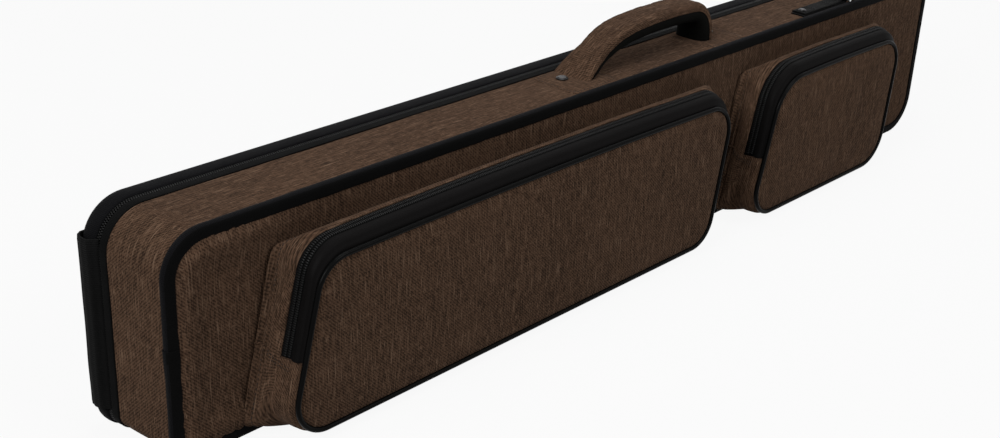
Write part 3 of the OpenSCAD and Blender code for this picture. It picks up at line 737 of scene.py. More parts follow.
def teeth(name, path, sgn, body, nodes, pitch, width, high, thick, offset, keep=None):
    """Row of coil teeth: rounded bars laid across the zip. path is a closed [(point, outward)], and sgn says
    which way along y the zip's middle lies."""
    bm = bmesh.new()
    across = Vector((0, sgn, 0))
    w2, t2 = width / 2, thick / 2
    prof = [(-w2, 0.0), (-w2, high * 0.6), (-w2 * 0.75, high), (w2 * 0.75, high), (w2, high * 0.6), (w2, 0.0)]
    last = len(prof) - 1
    for p, out, run in spaced(path + path[:1], pitch, offset):
        if keep and not keep(p):
            continue
        two = vert_grid(bm, [[p + across * x + out * h + run * (end * t2 * (0.7 if h > high * 0.8 else 1))
                              for x, h in prof] for end in (-1, 1)])
        for i in range(last):
            bm.faces.new((two[0][i], two[0][i + 1], two[1][i + 1], two[1][i]))
        cap_ends(bm, two)
        bm.faces.new((two[0][last], two[0][0], two[1][0], two[1][last]))
    return stand_for(finish_mesh(name, bm, TEETH, body, smooth=50), "black_zip", *nodes)


def main_zip():
    for name, y, sgn, cad, body, off in (("body_coil", Y_SPLIT - 0.85, 1, "body_zip_coil", "case_body", 0.0),
                                         ("lid_coil", Y_SPLIT + 0.85, -1, "lid_zip_coil", "lid", 0.5)):
        path = rim_path(CASE, case_sec(0.3, y)[0], y, WALL_RS, **CASE_KW)
        teeth(name, path, sgn, body, [cad], pitch=1.6, width=1.4, high=0.8, thick=1.0, offset=off)


# ------------------------------------------------------------------ lid
def lid_roll():
    """Padded black roll from the zip round to the lid's flat face."""
    y = Y_SPLIT + 1.6
    sec = [(0.0, y + 3), (0.3, y + 1.2), (0.9, y + 0.1), (1.7, y + 0.3), (2.3, y + 1.6), (2.6, y + 4.5),
           (2.5, y + 8), (2.1, y + 10.5), (1.1, Y_LID - 1.5), (-0.6, Y_LID - 0.5), (-2.4, Y_LID - 0.15),
           (-4.6, Y_LID - 0.1), (-5.2, Y_LID - 0.7), (-4.8, Y_LID - 1.6), (0, Y_LID - 2)]

    def move(p, k, out):
        w = wobble(p, 60, 0.3, 4)
        return p + Vector((0, w if 2 < k < 8 else 0, abs(w) if p.z < Z0 else 0))
    sec = [case_sec(s, d) for s, d in sec]
    case_ring("lid_roll", sec, BINDING_PAINTED_LIT, "lid", "black_trim", "lid_binding", move=move)


def lid_cloth():
    y0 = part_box("lid_panel")[0].y / MM
    nb = near_bulge(Y_LID)
    inset = 4.0

    def y_of(x, z, edge):
        return Y_LID - 0.9 + 0.9 * (1 - math.exp(-edge / 5)) - abs(wobble((x, 0, z), 90, 0.3, 6))
    ob = panel("lid_cloth", CASE, (-inset, -inset, -inset, nb - inset), case_r(-inset), y_of, y0, 120, 22,
               BROWN, "lid", **CASE_KW)
    del ob["pins"]
    stand_for(ob, "brown_cloth", "lid_panel")


def lid_inside():
    """Board ring, zip tape and the padded lining that faces the cues."""
    y0, y1 = spans("lid_frame")[1]
    y0 += 0.1
    sec = [case_sec(0.0, y0), case_sec(0.1, (y0 + y1) / 2), case_sec(0.0, y1), case_sec(-WALL_T, y1, 0),
           case_sec(-WALL_T - 0.1, (y0 + y1) / 2, 0), case_sec(-WALL_T + 0.6, y0 + 0.3, 0)]
    case_ring("lid_board", sec, BOARD, "lid", "black_board", "lid_frame")
    y0, y1 = spans("lid_zip_tape")[1]
    sec = [case_sec(s, y) for s, y in ((0.1, y0), (1.0, y0 + 0.2), (1.1, y1), (0.1, y1))]
    case_ring("lid_tape", sec, TAPE, "lid", "black_zip", "lid_zip_tape")
    face, back = spans("lid_pad")[1]

    def y_of(x, z, edge):
        seams = min(abs(x - MX - s) for s in (-215, 0, 215))
        channel = 1.3 * math.exp(-(seams / 3) ** 2) * ease(edge / 8)
        return face + 4.6 * (1 - ease(edge / 11)) + channel - wobble((x, 0, z), 60, 0.3, 8)
    inset = WALL_T + 0.3
    ob = panel("lid_padding", CASE, (-inset,) * 4, case_r(-inset), y_of, back - 0.1, 110, 20, FOAM,
               "lid", rim=0.0, **CASE_KW)
    puff(ob, 0.8, 0.7)
    stand_for(ob, "lined_foam", "lid_pad")


# ------------------------------------------------------------------ inside the body
def cradle():
    """Velour-covered foam with two wide and two narrow round-bottomed channels."""
    (x0, x1), (back, face), (z0, z1) = spans("foam_cradle")
    gap = (z1 - z0 - 2 * BUTT_W - 2 * SHAFT_W) / 5
    chans, z = [], z0
    for w in (BUTT_W, SHAFT_W, SHAFT_W, BUTT_W):
        z += gap
        chans.append((z, w))
        z += w
    # profile across the channels: (z, depth below the face), each with rounded lips and a round bottom
    prof = [(z0, 0.0)]
    lip = 2.6
    lips = [math.pi / 2 * q / 5 for q in range(6)]
    for za, w in chans:
        deep = face - (back + FOAM_FLOOR + w / 2)
        prof += [(za - lip + lip * math.sin(a), lip - lip * math.cos(a)) for a in lips]
        prof += [(za + 0.02 * q, lip + (deep - lip) * q / 4) for q in range(1, 4)]
        prof += [(za + w / 2 - w / 2 * math.cos(a), deep + w / 2 * math.sin(a))
                 for a in (math.pi * q / 14 for q in range(15))]
        prof += [(za + w - 0.02 * q, lip + (deep - lip) * q / 4) for q in range(3, 0, -1)]
        prof += [(za + w + lip - lip * math.sin(a), lip - lip * math.cos(a)) for a in lips[::-1]]
    prof.append((z1, 0.0))
    # rows along the channels, closer where the case's corners round the foam off
    half, end = CHANNEL_L / 2, 24
    xs = [x0 + end * q / 8 for q in range(9)]
    xs += [MX - half - 2.5, MX - half - 1.2, MX - half]
    xs += [MX - half + CHANNEL_L * q / 30 for q in range(1, 30)]
    xs += [MX + half, MX + half + 1.2, MX + half + 2.5]
    xs += [x1 - end + end * q / 8 for q in range(9)]
    bm, uvl = new_skin()
    front, rear = [], []
    for x in xs:
        e = min(x - x0, x1 - x)
        r_top, r_low = (WALL_RS[i] - WALL_T for i in ((0, 3) if x < MX else (1, 2)))
        drop, lift = (r - math.sqrt(max(r ** 2 - max(r - e, 0) ** 2, 0)) for r in (r_top, r_low))
        top, low = z1 - drop, z0 + lift
        share = 1.0 if abs(x - MX) <= half else 0.14 if abs(x - MX) < half + 2 else 0.0
        row = []
        for z, d in prof:
            depth = d * share
            w = wobble((x, 0, z), 24, 0.25, 12) if depth < 1 else 0
            row.append(bm.verts.new(Vector((x, face - 0.2 - depth - abs(w), min(max(z, low), top))) * MM))
        front.append(row)
        rear.append([bm.verts.new(Vector((x, back, min(max(z, low), top))) * MM) for z, d in prof])
    vs = running([Vector((0, -d, z)) for z, d in prof])
    for rows in (front, rear):
        grid_faces(bm, uvl, rows, vs, xs, turned=True)
    close_rim(bm, front, rear)
    ob = finish_mesh("velour_cradle", bm, FOAM, "case_body", 50)
    stand_for(ob, "lined_foam", "foam_cradle")


def webbing(name, mids, outs, across, width, thick, *nodes):
    """Flat woven strap on the body along mids, with rounded edges. outs say which way its face looks."""
    h, e = width / 2, thick / 2
    prof = [(-h, 0), (-h + 0.25, e * 0.8), (-h + 0.7, e)]
    prof += [(-h + 0.7 + (width - 1.4) * q / 8, e * 1.12) for q in range(1, 8)]
    prof += [(h - 0.7, e), (h - 0.25, e * 0.8), (h, 0)]
    prof += [(x, -y / 1.1) for x, y in prof[-2:0:-1]]
    rows = [[m + across * x + out * y for x, y in prof] for m, out in zip(mids, outs)]
    strap = strand(name, rows, running(rows[0] + rows[0][:1]), running(mids), WEB, 50)
    return stand_for(strap, "black_webbing", *nodes)


def retaining_straps():
    lo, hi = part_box("cue_straps")
    z0, z1, y = lo.z / MM, hi.z / MM, (lo.y + hi.y) / 2 / MM
    reach = (hi.x - lo.x) / 2 / MM - STRAP_W / 2
    for name, x, nodes in (("near_strap", MX - reach, ["cue_straps"]), ("far_strap", MX + reach, [])):
        mids = [Vector((x, y + 0.3 * math.sin(math.pi * t / 30), z0 + (z1 - z0) * t / 30)) for t in range(31)]
        up = Vector((0, 1, 0))
        webbing(name, mids, [up] * 31, Vector((-1, 0, 0)), STRAP_W, 1.3, *nodes)
        for end, z in (("low", z0 + 9), ("high", z1 - 9)):
            box = [(-10, -5), (10, -5), (10, 5), (-10, 5), (-10, -5)]
            line = [(Vector((x + dx, y + 0.9, z + dz)), up) for dx, dz in box]
            stitches(f"{name}_{end}_stitches", line, THREAD_BLACK, "black_webbing")


# ------------------------------------------------------------------ webbing hinge
def hinge_web():
    """Ribbed webbing sewn into the groove beside the zip, carried over the lid's roll."""
    leaf = spans("hinge_lid_leaf")
    xo, (z0, z1) = leaf[0][0], leaf[2]
    nb = near_bulge(Y_SPLIT)
    root = X0 - nb - 0.6
    rail = [(root, Y_SPLIT - 1.4), (root - 1.0, Y_SPLIT - 1.2), (root - 1.7, Y_SPLIT - 0.4)]
    rail += [(xo + x, Y_SPLIT + y) for x, y in ((2.2, 1.4), (0.9, 3.0), (0.4, 5))]
    on_lid = ((0.3, 7), (0.8, 4.2), (2.2, 2), (4.6, 0.5), (8, 0.1), (12, 0.05))
    rail += [(xo + x, Y_LID - y) for x, y in on_lid]
    thick = 1.4
    dense = []
    for (x, y), (a, b) in zip(rail, rail[1:]):
        steps = max(1, int(math.hypot(a - x, b - y) / 0.7))
        dense += [(x + (a - x) * i / steps, y + (b - y) * i / steps) for i in range(steps)]
    dense.append(rail[-1])
    n = len(dense)
    outer, inner, length = [], [], 0.0
    for i, (x, y) in enumerate(dense):
        a, b = dense[max(i - 1, 0)], dense[min(i + 1, n - 1)]
        d = Vector((b[0] - a[0], b[1] - a[1])).normalized()
        nrm = Vector((-d.y, d.x))
        if i:
            length += math.hypot(x - dense[i - 1][0], y - dense[i - 1][1])
        rib = 0.3 * math.cos(2 * math.pi * (length - 1.5) / 5.2)
        outer.append((x + nrm.x * rib * 0.5, y + nrm.y * rib * 0.5, length))
        inner.append((x - nrm.x * thick, y - nrm.y * thick))
    bm, uvl = new_skin()
    steps = 44
    zs = [z0 + (z1 - z0) * k / steps for k in range(steps + 1)]
    go, gi = [], []
    for z in zs:
        end = 0.5 * (1 - min(1, min(z - z0, z1 - z) / 2.0))
        soft = wobble((0, 0, z), 30, 0.35, 9)
        go.append([bm.verts.new(Vector((x + end * 0.6 + soft * min(1, l / 6), y, z)) * MM)
                   for x, y, l in outer])
        gi.append([bm.verts.new(Vector((x, y, z)) * MM) for x, y in inner])
    lens = [l for x, y, l in outer]
    for grid in (go, gi):
        grid_faces(bm, uvl, grid, lens, zs)
    close_rim(bm, go, gi)
    ob = finish_mesh("hinge_webbing", bm, WEB)
    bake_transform(ob)
    stand_for(ob, "black_webbing", "hinge_body_leaf", "hinge_lid_leaf")


for build in (side_cover, front_cloth, front_binding, body_tape, main_zip, lid_roll, lid_cloth, lid_inside,
              cradle, retaining_straps, hinge_web):
    build()


# ------------------------------------------------------------------ pockets
# depths in front of the board's edge: the piping's front and middle, the wall's end, the zip's start and middle
POCKET_D = Y_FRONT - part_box("long_lower_piping")[0].y / MM
PIPE_R = 1.8
PIPE_D = POCKET_D - PIPE_R
WALL_END = PIPE_D - 0.92 * PIPE_R
ZIP_D0 = 0.49 * POCKET_D
ZIP_MID = ZIP_D0 + 4.2
# the fronts' edges above the floor and how far their near ends lean, as in the part's source
POCKET_TOP, POCKET_LOW = 122.5, 6
LEAN = (POCKET_TOP - POCKET_LOW) * math.tan(math.radians(13.5))


def slanted(left, right, share):
    """Corners of a pocket's front, to 0.01 mm. Its top edge runs from left to right of the case's middle, and
    its far end leans by a share of the near end's lean."""
    x0, x1 = MX + left, MX + right
    corners = [(x0, POCKET_TOP), (x1, POCKET_TOP), (x1 - share * LEAN, POCKET_LOW), (x0 - LEAN, POCKET_LOW)]
    return [(round(x, 2), z) for x, z in corners]


# how far each side of the wall stands out at a depth: the top is stuffed, the ends flare to the board
TOP_FORM = [(0, -2.0), (1.4, -1.0), (3, 0.6), (6, 3.0), (9, 5.0), (12, 6.6), (15, 7.6), (18.3, 8.0),
            (22.4, 7.9), (26.5, 6.9), (29, 6.0), (31, 5.0), (32.4, 3.8), (33.6, 0.8)]
SIDE_FORM = [(0, 8.0), (1.4, 8.2), (3, 7.4), (7, 6.4), (9, 6.1), (13, 4.9), (18.3, 3.2), (22.3, 2.1),
             (26.5, 1.4), (29, 1.1), (31, 0.6), (32.4, 0.0), (33.6, -1.0)]
LOW_FORM = [(0, -3.4), (3, -2.9), (9, -1.4), (16, 0.1), (24, 0.8), (30, 0.5), (33.6, -1.0)]


def pocket_shift(d):
    s = lookup(SIDE_FORM, d)
    return (lookup(TOP_FORM, d), s, lookup(LOW_FORM, d), s)


def grow(shifts, e):
    return tuple(s + e for s in shifts)


class Pocket:
    def __init__(self, tag, corners, front_r, crown):
        self.tag, self.c, self.fr, self.crown = tag, corners, front_r, crown
        self.flap = tag + "_flap"
        # the long pocket takes more points along its top and bottom
        long = tag == "long"
        self.kw = dict(arc=16, side=(120 if long else 60, 30, 120 if long else 60, 30))
        self.nx = 110 if long else 56
        self.xm = (corners[0][0] + corners[1][0]) / 2
        self.half = (corners[1][0] - corners[0][0]) / 2
        for build in (build_gusset, build_zip, build_band, build_front):
            build(self)

    def radii(self, d):
        t = 1 - ease((d - 3.5) / 15)
        return tuple(r - (r - 5.0) * t for r in self.fr)

    def bowed(self, p, d):
        """The top edge is arched by the stuffing."""
        middle = max(0, 1 - ((p.x - self.xm) / self.half) ** 2)
        return Vector((p.x, p.y, p.z + self.crown * ease(d / 20) * middle * ease((p.z - 84) / 34)))

    def section(self, d0, d1, steps, inset, thick, form=None):
        """Outer skin from d0 to d1 and back along the inside."""
        depths = [d0 + (d1 - d0) * i / steps for i in range(steps + 1)]
        skin = [(d, -inset + (form(d) if form else 0)) for d in depths]
        skin += [(d, -inset - thick) for d in (d1, d0)]
        return [(grow(pocket_shift(d), e), Y_FRONT - d, grown_radii(self.radii(d), e)) for d, e in skin]

    def ring(self, name, section, mat, body, slot, nodes=(), rumpled=0.0, keep=None):
        def move(p, k, out):
            d = Y_FRONT - p.y
            q = self.bowed(p, d)
            if rumpled:
                lively = math.sin(math.pi * min(max(d / ZIP_D0, 0), 1)) if d < ZIP_D0 else 0.7
                q = q + out * ((wobble(q, 16, 0.3, 11) + wobble(q, 55, 0.75, 2)) * lively * rumpled)
            return q
        ob = ring(f"{self.tag}_{name}", self.c, section, mat, body, move, keep, turned=True, **self.kw)
        return stand_for(ob, slot, *(self.tag + "_" + n for n in nodes))

    def path(self, d, e):
        sh = grow(pocket_shift(d), e)
        pts = rim_path(self.c, sh, Y_FRONT - d, grown_radii(self.radii(d), e), **self.kw)
        return [(self.bowed(p, d), out) for p, out in pts]

    def spot(self, d, z, side, e=0.0):
        """Point of the near (-1) or far (1) flank at a depth and height, with its outward direction."""
        flank = [q for q in self.path(d, e) if (q[0].x - self.xm) * side > 0 and abs(q[0].z - z) < 12]
        (a, oa), (b, ob) = sorted(flank, key=lambda q: abs(q[0].z - z))[:2]
        t = (z - a.z) / (b.z - a.z) if abs(b.z - a.z) > 1e-6 else 0
        return a.lerp(b, t), oa.lerp(ob, t).normalized()


def flange(d):
    """Ridge sewn to the board, a crease at the flange's stitching, then the full wall."""
    ridge = 2.0 * math.exp(-((d - 2.1) / 0.9) ** 2)
    crease = -0.8 * math.exp(-((d - 4.1) / 0.9) ** 2) - 0.7 * math.exp(-((d - 8.0) / 0.7) ** 2)
    full = 0.8 * math.sin(math.pi * min(max((d - 8.0) / 10.2, 0), 1))
    return ridge + crease + full + 0.3 * ease((d - 1.5) / 3)


def build_gusset(pk):
    pk.ring("gusset_cloth", pk.section(-1.2, ZIP_D0 + 0.1, 44, 0, 1.6, flange), BROWN, "case_body",
            "brown_cloth", ["gusset"], 1.0)
    pk.ring("lower_gusset", pk.section(ZIP_D0 - 0.6, WALL_END + 0.3, 20, -0.35, 1.6), BROWN, "case_body",
            "brown_cloth", rumpled=0.6, keep=("below", FOLD_Z - 0.3))
    stitches(pk.tag + "_flange_stitches", pk.path(6.3, 0.15), THREAD, "brown_cloth", pitch=3.2, long=2.1,
             wide=0.5, high=0.3, closed=True)
    for side, where in ((-1, "near"), (1, "far")):
        depths = [1.2 + 0.8 * i for i in range(11)]
        across = [pk.spot(d, FOLD_Z + 4.5, side, flange(d) + 0.45)[0] for d in depths]
        tube(f"{pk.tag}_{where}_flange_seam", across, 0.7)
        for row, off in enumerate((0.0, 2.2)):
            line = []
            for i in range(13):
                t = i / 12
                d = 10 + 16.5 * t
                e = 0.75 if d > ZIP_D0 else flange(d) + 0.35
                line.append(pk.spot(d, FOLD_Z - 4.5 + 7.5 * (1 - t) ** 2.2 - off, side, e))
            stitches(f"{pk.tag}_{where}_seam_{row}", line, THREAD, "brown_cloth", pitch=2.2, long=1.6,
                     wide=0.5, high=0.25)


def build_zip(pk):
    """Two tapes that meet at the coil, from the fold over the top."""
    top = FOLD_Z + 0.3
    for name, d0, d1, body, cad in (("base_tape", ZIP_D0 - 0.4, ZIP_MID - 0.15, "case_body", "zip_base"),
                                    ("flap_tape", ZIP_MID + 0.15, 26.9, pk.flap, "flap_zip")):
        tape = pk.section(d0, d1, 4, 0.5, 0.9)
        pk.ring(name, tape, TAPE, body, "black_zip", [cad], keep=("above", top))
    for half, sgn, body, off in (("base", -1, "case_body", 0.0), ("flap", 1, pk.flap, 0.5)):
        path = pk.path(ZIP_MID + 1.55 * sgn, -0.5)
        teeth(f"{pk.tag}_{half}_teeth", path, sgn, body, [], pitch=1.5, width=2.7, high=1.0, thick=0.85,
              offset=off, keep=lambda p: p.z > top + 1)


def build_band(pk):
    """Coated band from the zip to the piping, with a groove where the piping is sewn in."""
    def roll(d):
        t = (d - 26.0) / (WALL_END - 26.0)
        return 0.55 * math.sin(math.pi * t) - 0.9 * math.exp(-((t - 0.86) / 0.07) ** 2)
    pk.ring("band", pk.section(26.0, WALL_END + 0.3, 16, -0.1, 1.4, roll), BAND, pk.flap, "black_trim",
            ["flap_band"], 0.5, ("above", FOLD_Z + 0.3))


def build_front(pk):
    """Piping and padded front cloth, each one piece across the fold."""
    start, end = (0, 0, (FOLD_Z - 5) * MM), (0, 0, (FOLD_Z + 5) * MM)
    sec = []
    for k in range(12):
        a = 2 * math.pi * k / 12
        e = -PIPE_R + PIPE_R * math.cos(a)
        sec.append((((e,) * 4), Y_FRONT - PIPE_D - PIPE_R * math.sin(a), grown_radii(pk.fr, e)))
    pipe = pk.ring("piping", sec, PIPING, None, "black_trim", ["lower_piping", "flap_piping"])
    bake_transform(pipe)
    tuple(start)
    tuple(end)
    inset = 2 * PIPE_R - 0.2
    rim_y = Y_FRONT - PIPE_D + 0.2

    def y_of(x, z, edge):
        p = (x, 0, z)
        rise = 1.9 * (1 - math.exp(-edge / 3.5)) + 0.5 * (1 - math.exp(-edge / 28))
        return rim_y - rise - (wobble(p, 26, 0.3, 21) + wobble(p, 80, 0.5, 17)) * ease(edge / 8)

    def bow(p):
        q = pk.bowed(Vector((p.x, 0, p.y)), POCKET_D)
        return Vector((q.x, q.z))
    cloth = panel(pk.tag + "_front_cloth", pk.c, (-inset,) * 4, grown_radii(pk.fr, -inset), y_of, rim_y + 1.6,
                  pk.nx, 42, BROWN, bow=bow, **pk.kw)
    puff(cloth, 2.0, 0.9)
    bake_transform(cloth)
    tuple(start)
    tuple(end)
    stand_for(cloth, "brown_cloth", pk.tag + "_lower_panel", pk.tag + "_flap_panel")


Pocket("long", slanted(-346, 68, 0.65), (25, 25, 25, 25), 2.6)
Pocket("small", slanted(133, 322, 0.36), (36, 25, 31, 25), 1.6)


# ------------------------------------------------------------------ handle
NEAR_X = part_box("handle_grip")[0].x / MM + 4.3
HY = (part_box("handle_lining")[0].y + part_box("handle_lining")[1].y) / 2 / MM
# middle line from the near foot, a long slope, an arched crown and an upright far leg
GRIP = [(0, 0), (11.5, 8.9), (26.0, 17.0), (39.0, 22.9), (55.5, 26.6), (73.5, 28.2), (92, 29.0), (111, 29.1),
        (126, 28.5), (137, 27.2), (144.5, 23.4), (149, 16.5), (150.5, 8), (150.5, 0)]
# points round the handle's cloth and round its lining
GRIP_N, LINING_N = 44, 32


def smooth_line(points, count):
    """Catmull-Rom curve through points, evenly divided."""
    pts = [points[0] * 2 - points[1]] + points + [points[-1] * 2 - points[-2]]
    dense = []
    for a, b, c, d in zip(pts, pts[1:], pts[2:], pts[3:]):
        for k in range(10):
            t = k / 10
            bend, twist = 2 * a - 5 * b + 4 * c - d, 3 * b - a - 3 * c + d
            dense.append(0.5 * (2 * b + (c - a) * t + bend * t * t + twist * t ** 3))
    return resample(dense + [points[-1]], count)


def sweep(name, line, section, mat, floor_z):
    """Skin on the body along a line in the X-Z plane, cut off at floor_z. section(s) gives [(out, across)] at
    s mm along it."""
    lens = running(line)
    rows, last = [], len(line) - 1
    for i, m in enumerate(line):
        d = heading(line, i)
        nrm = Vector((-d.z, 0, d.x))
        row = []
        for o, a in section(lens[i]):
            p = m + nrm * o + Vector((0, a, 0))
            if i in (0, last) or p.z < floor_z:
                p = p + d * ((floor_z - p.z) / d.z) if i in (0, last) else Vector((p.x, p.y, floor_z))
            row.append(p)
        rows.append(row)
    mid = rows[len(rows) // 2]
    return strand(name, rows, running(mid + mid[:1]), lens, mat, 60)


def rounded(v, power):
    """v with its sign kept and its size raised to a power, which squares off a circle."""
    return math.copysign(abs(v) ** power, v)


def round_points(n):
    """Angle, cosine and sine at n places round a section, clockwise."""
    angles = [-2 * math.pi * q / n for q in range(n)]
    return [(a, math.cos(a), math.sin(a)) for a in angles]


def handle():
    foot_z = Z1 + 0.3
    line = smooth_line([Vector((NEAR_X + x, HY, Z1 + 0.4 + z)) for x, z in GRIP], 96)
    total = running(line)[-1]

    def size(s):
        far = ease((total - s) / 34)
        w = 33.5 - 7.0 * ease(s / 30) if s < total / 2 else 31.5 - 5.0 * far
        t = 5.4 + 6.2 * ease(s / 56) if s < total / 2 else 9.5 + 2.1 * far
        return w, t

    def low_edge(s, t):
        """The cloth ends at the grip's middle, and wraps right round only at the near foot."""
        return -t / 2 * (0.86 - 0.72 * ease((s - 8) / 24))

    def soft(s, a):
        broad, fine = noise.noise(Vector((s / 14, a * 1.3, 3))), noise.noise(Vector((s / 5, a * 3, 8)))
        return 1 + 0.05 * broad + 0.03 * fine

    def grip_sec(s):
        w, t = size(s)
        pts = []
        for a, c, n in round_points(GRIP_N):
            out = t / 2 * rounded(n, 0.72)
            if n < 0:
                out = max(out, low_edge(s, t))
            pts.append((out * soft(s, a), w / 2 * rounded(c, 0.5)))
        return pts
    ob = sweep("grip_cloth", line, grip_sec, BROWN, foot_z)
    # both feet and the cloth's underside are sewn down
    total_v, feet = GRIP_N * len(line), 2 * GRIP_N
    pins = [v for v in range(total_v) if v < feet or v >= total_v - feet or 0.06 < v % GRIP_N / GRIP_N < 0.44]
    puff(ob, 1.5, 0.7, pins)
    stand_for(ob, "brown_cloth", "handle_grip")

    def lining_sec(s):
        w, t = size(s)
        w -= 1.2
        deep = 4.8 * ease(s / 16) + 0.8
        pts = []
        for a, c, n in round_points(LINING_N):
            top = low_edge(s, t) + 0.2
            out = top + (0.6 * n if n > 0 else (deep + t / 2 + top) * rounded(n, 0.8))
            pts.append((out * (1 + 0.04 * noise.noise(Vector((s / 9, a, 1)))), w / 2 * rounded(c, 0.6)))
        return pts
    li = sweep("grip_lining", line, lining_sec, LINING, foot_z - 0.2)
    stand_for(li, "black_webbing", "handle_lining")


def patch_pad(name, x0, x1, y0, y1):
    """Thin cloth patch sewn on the top, thickest in its middle."""
    r = 9.0
    corners = [(x0, y1), (x1, y1), (x1, y0), (x0, y0)]
    round_kw = dict(arc=8, side=(8, 6, 8, 6))
    bm, uvl = new_skin()
    rows = []
    for inset, rise in ((0.3, -1.0), (0.0, 0.0), (0.2, 0.45), (0.9, 0.6), (2.4, 0.5), (3.2, 0.62), (6, 0.95),
                        (10, 1.1)):
        pts = outline(corners, (-inset,) * 4, max(r - inset, 2), **round_kw)
        rows.append([Vector((p.x, p.y, Z1 + rise + wobble((p.x, p.y, 0), 12, 0.08, 4))) for p in pts])
    rows = vert_grid(bm, rows)
    hoops(bm, rows)
    bm.faces.new(rows[-1])
    bm.faces.new(rows[0][::-1])
    flat_uv(bm, uvl, 1)
    ob = finish_mesh(name, bm, BROWN, "case_body", 50)
    sewn = 2.6
    line = [(Vector((p.x, p.y, Z1 + 0.5)), Vector((0, 0, 1)))
            for p in outline(corners, (-sewn,) * 4, r - sewn, **round_kw)]
    stitches(name + "_stitches", line, THREAD, "brown_cloth", pitch=3.0, long=2.0, wide=0.5, high=0.25,
             closed=True)
    return stand_for(ob, "brown_cloth")


def patches():
    (x0, x1), (y0, y1) = spans("handle_patches")[:2]
    long = 52
    near = patch_pad("near_patch", x0, x0 + long, y0, y1)
    patch_pad("far_patch", x1 - long, x1, y0, y1)
    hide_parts("handle_patches")


def strap_tab():
    """Webbing folded over the ring's bar and sewn down on both its layers."""
    lo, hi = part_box("strap_tab")
    r_lo, r_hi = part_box("d_ring")
    wire = (r_hi.z - r_lo.z) / 2 / MM
    bar = Vector((r_lo.x / MM + wire, (lo.y + hi.y) / 2 / MM, (r_lo.z + r_hi.z) / 2 / MM))
    x0, width, thick = lo.x / MM, (hi.y - lo.y) / MM, 1.5
    turn = wire + 0.3 + thick / 2
    under, over = 0.8, 2.5
    pts = []
    for i in range(25):
        x = x0 + (bar.x - x0) * (i / 24)
        rise = (bar.z - turn - Z1 - under) * ease((x - bar.x + 12) / 12)
        pts.append(Vector((x, bar.y, Z1 + under + rise)))
    for i in range(1, 13):
        a = -math.pi / 2 + math.pi * i / 12
        pts.append(bar + Vector((math.cos(a), 0, math.sin(a))) * turn)
    for i in range(1, 25):
        x = bar.x + (x0 + 1.5 - bar.x) * (i / 24)
        rise = (bar.z + turn - Z1 - over) * ease((x - bar.x + 14) / 14)
        pts.append(Vector((x, bar.y, Z1 + over + rise + wobble((x, 0, 0), 12, 0.15))))
    runs = [heading(pts, i) for i in range(len(pts))]
    outs = [Vector((d.z, 0, -d.x)) for d in runs]
    webbing("tab_webbing", pts, outs, Vector((0, 1, 0)), width, thick, "strap_tab")
    h = width / 2 - 2
    for tag, xa, xb in (("start", x0 + 3, x0 + 20), ("ring", bar.x - 24, bar.x - 8)):
        box = [(xa, -h), (xb, -h), (xb, h), (xa, h), (xa, -h)]
        box = [Vector((x, bar.y + y, Z1 + 3.5)) for x, y in box]
        line = [(a.lerp(b, k / 6), Vector((0, 0, 1))) for a, b in zip(box, box[1:]) for k in range(6)]
        stitches(f"tab_{tag}_stitches", line, THREAD_BLACK, "black_webbing", pitch=2.4, long=1.7)


handle()
patches()
strap_tab()

# ------------------------------------------------------------------ camera, light and floor
# where the camera looks, how far away it is, its direction and its lens: fitted together with the case's size
CAM_AT = Vector((MX - 115.19, Y_FRONT + 38, Z0 + 50.32)) * MM
CAM_DIST = 1.06224
AZ, EL, ROLL = math.radians(-47.58), math.radians(24.93), math.radians(2.576)
back = Vector((math.sin(AZ) * math.cos(EL), -math.cos(AZ) * math.cos(EL), math.sin(EL)))
fwd = -back
right = fwd.cross(Vector((0, 0, 1))).normalized()
up = right.cross(fwd)
r2 = right * math.cos(ROLL) + up * math.sin(ROLL)
u2 = up * math.cos(ROLL) - right * math.sin(ROLL)
cam_data = bpy.data.cameras.new("camera")
cam_data.lens = 51.97
cam_data.sensor_width = 36
cam_data.clip_end = 50
cam = bpy.data.objects.new("camera", cam_data)
bpy.context.collection.objects.link(cam)
place = CAM_AT + back * CAM_DIST
cam.matrix_world = Matrix([(*axis, 0) for axis in (r2, u2, back)] + [(*place, 1)]).transposed()
bpy.context.scene.camera = cam


def area(name, at, target, size, power):
    """Square light: place, target and side in metres, power in watts."""
    d = bpy.data.lights.new(name, "AREA")
    d.energy = power
    d.size = size
    o = bpy.data.objects.new(name, d)
    bpy.context.collection.objects.link(o)
    o.location = at
    o.rotation_euler = (Vector(target) - Vector(at)).to_track_quat("-Z", "Y").to_euler()


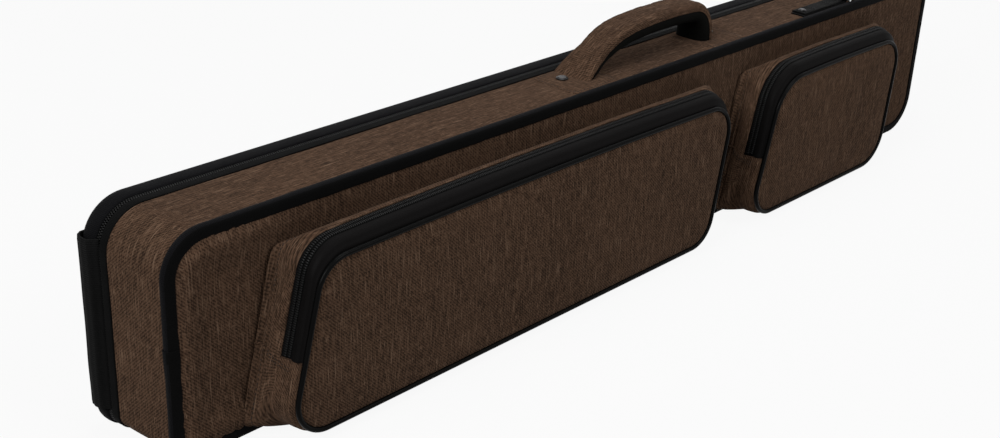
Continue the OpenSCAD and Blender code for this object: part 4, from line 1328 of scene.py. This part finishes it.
area("key", (-2.1, -0.25, 1.5), (-0.2, 0, 0.08), 1.0, 42)
area("front", (0.5, -1.9, 1.9), (0.05, 0, 0.08), 1.2, 33)
area("top", (0.2, 0.3, 2.2), (0, 0, 0.1), 1.4, 20)
area("far_rim", (1.8, 0.9, 1.2), (0, 0, 0.1), 1.2, 2.5)

bm = bmesh.new()
bmesh.ops.create_grid(bm, x_segments=1, y_segments=1, size=6)
me = bpy.data.meshes.new("floor")
bm.to_mesh(me)
bm.free()
floor = bpy.data.objects.new("floor", me)
bpy.context.collection.objects.link(floor)
FLOOR_DROP = 0.5
floor.location = (0, 0, -FLOOR_DROP * MM)


def looked_at(nt):
    """1 where the camera, a reflection or a see-through ray looks at it, else 0."""
    lp = node(nt, "ShaderNodeLightPath")
    return math_node(nt, "MAXIMUM", lp.outputs["Is Camera Ray"],
                     math_node(nt, "MAXIMUM", lp.outputs["Is Glossy Ray"], lp.outputs["Is Transmission Ray"]))


WHITE = (1, 1, 1, 1)
# share of white the floor shows to the camera, and the world's light on everything else
FLOOR_WHITE, AMBIENT = 0.92, 0.15
fm = bpy.data.materials.new("pale_floor")
nt, out = fresh_tree(fm, "ShaderNodeOutputMaterial")
lit = node(nt, "ShaderNodeBsdfDiffuse", Color=(0.45, 0.45, 0.45, 1))
glow = node(nt, "ShaderNodeEmission", Color=WHITE, Strength=1.0)
mixer = nt.nodes.new("ShaderNodeMixShader")
seen = math_node(nt, "MULTIPLY", looked_at(nt), FLOOR_WHITE)
for i, source in enumerate((seen, lit.outputs[0], glow.outputs[0])):
    nt.links.new(source, mixer.inputs[i])
nt.links.new(mixer.outputs[0], out.inputs[0])
me.materials.append(fm)

world = bpy.data.worlds.new("studio")
bpy.context.scene.world = world
nt, out = fresh_tree(world, "ShaderNodeOutputWorld")
bg = node(nt, "ShaderNodeBackground", Color=WHITE)
nt.links.new(math_node(nt, "MULTIPLY_ADD", looked_at(nt), 1 - AMBIENT, AMBIENT), bg.inputs["Strength"])
nt.links.new(bg.outputs[0], out.inputs[0])

bpy.context.scene.view_settings.view_transform = "Standard"
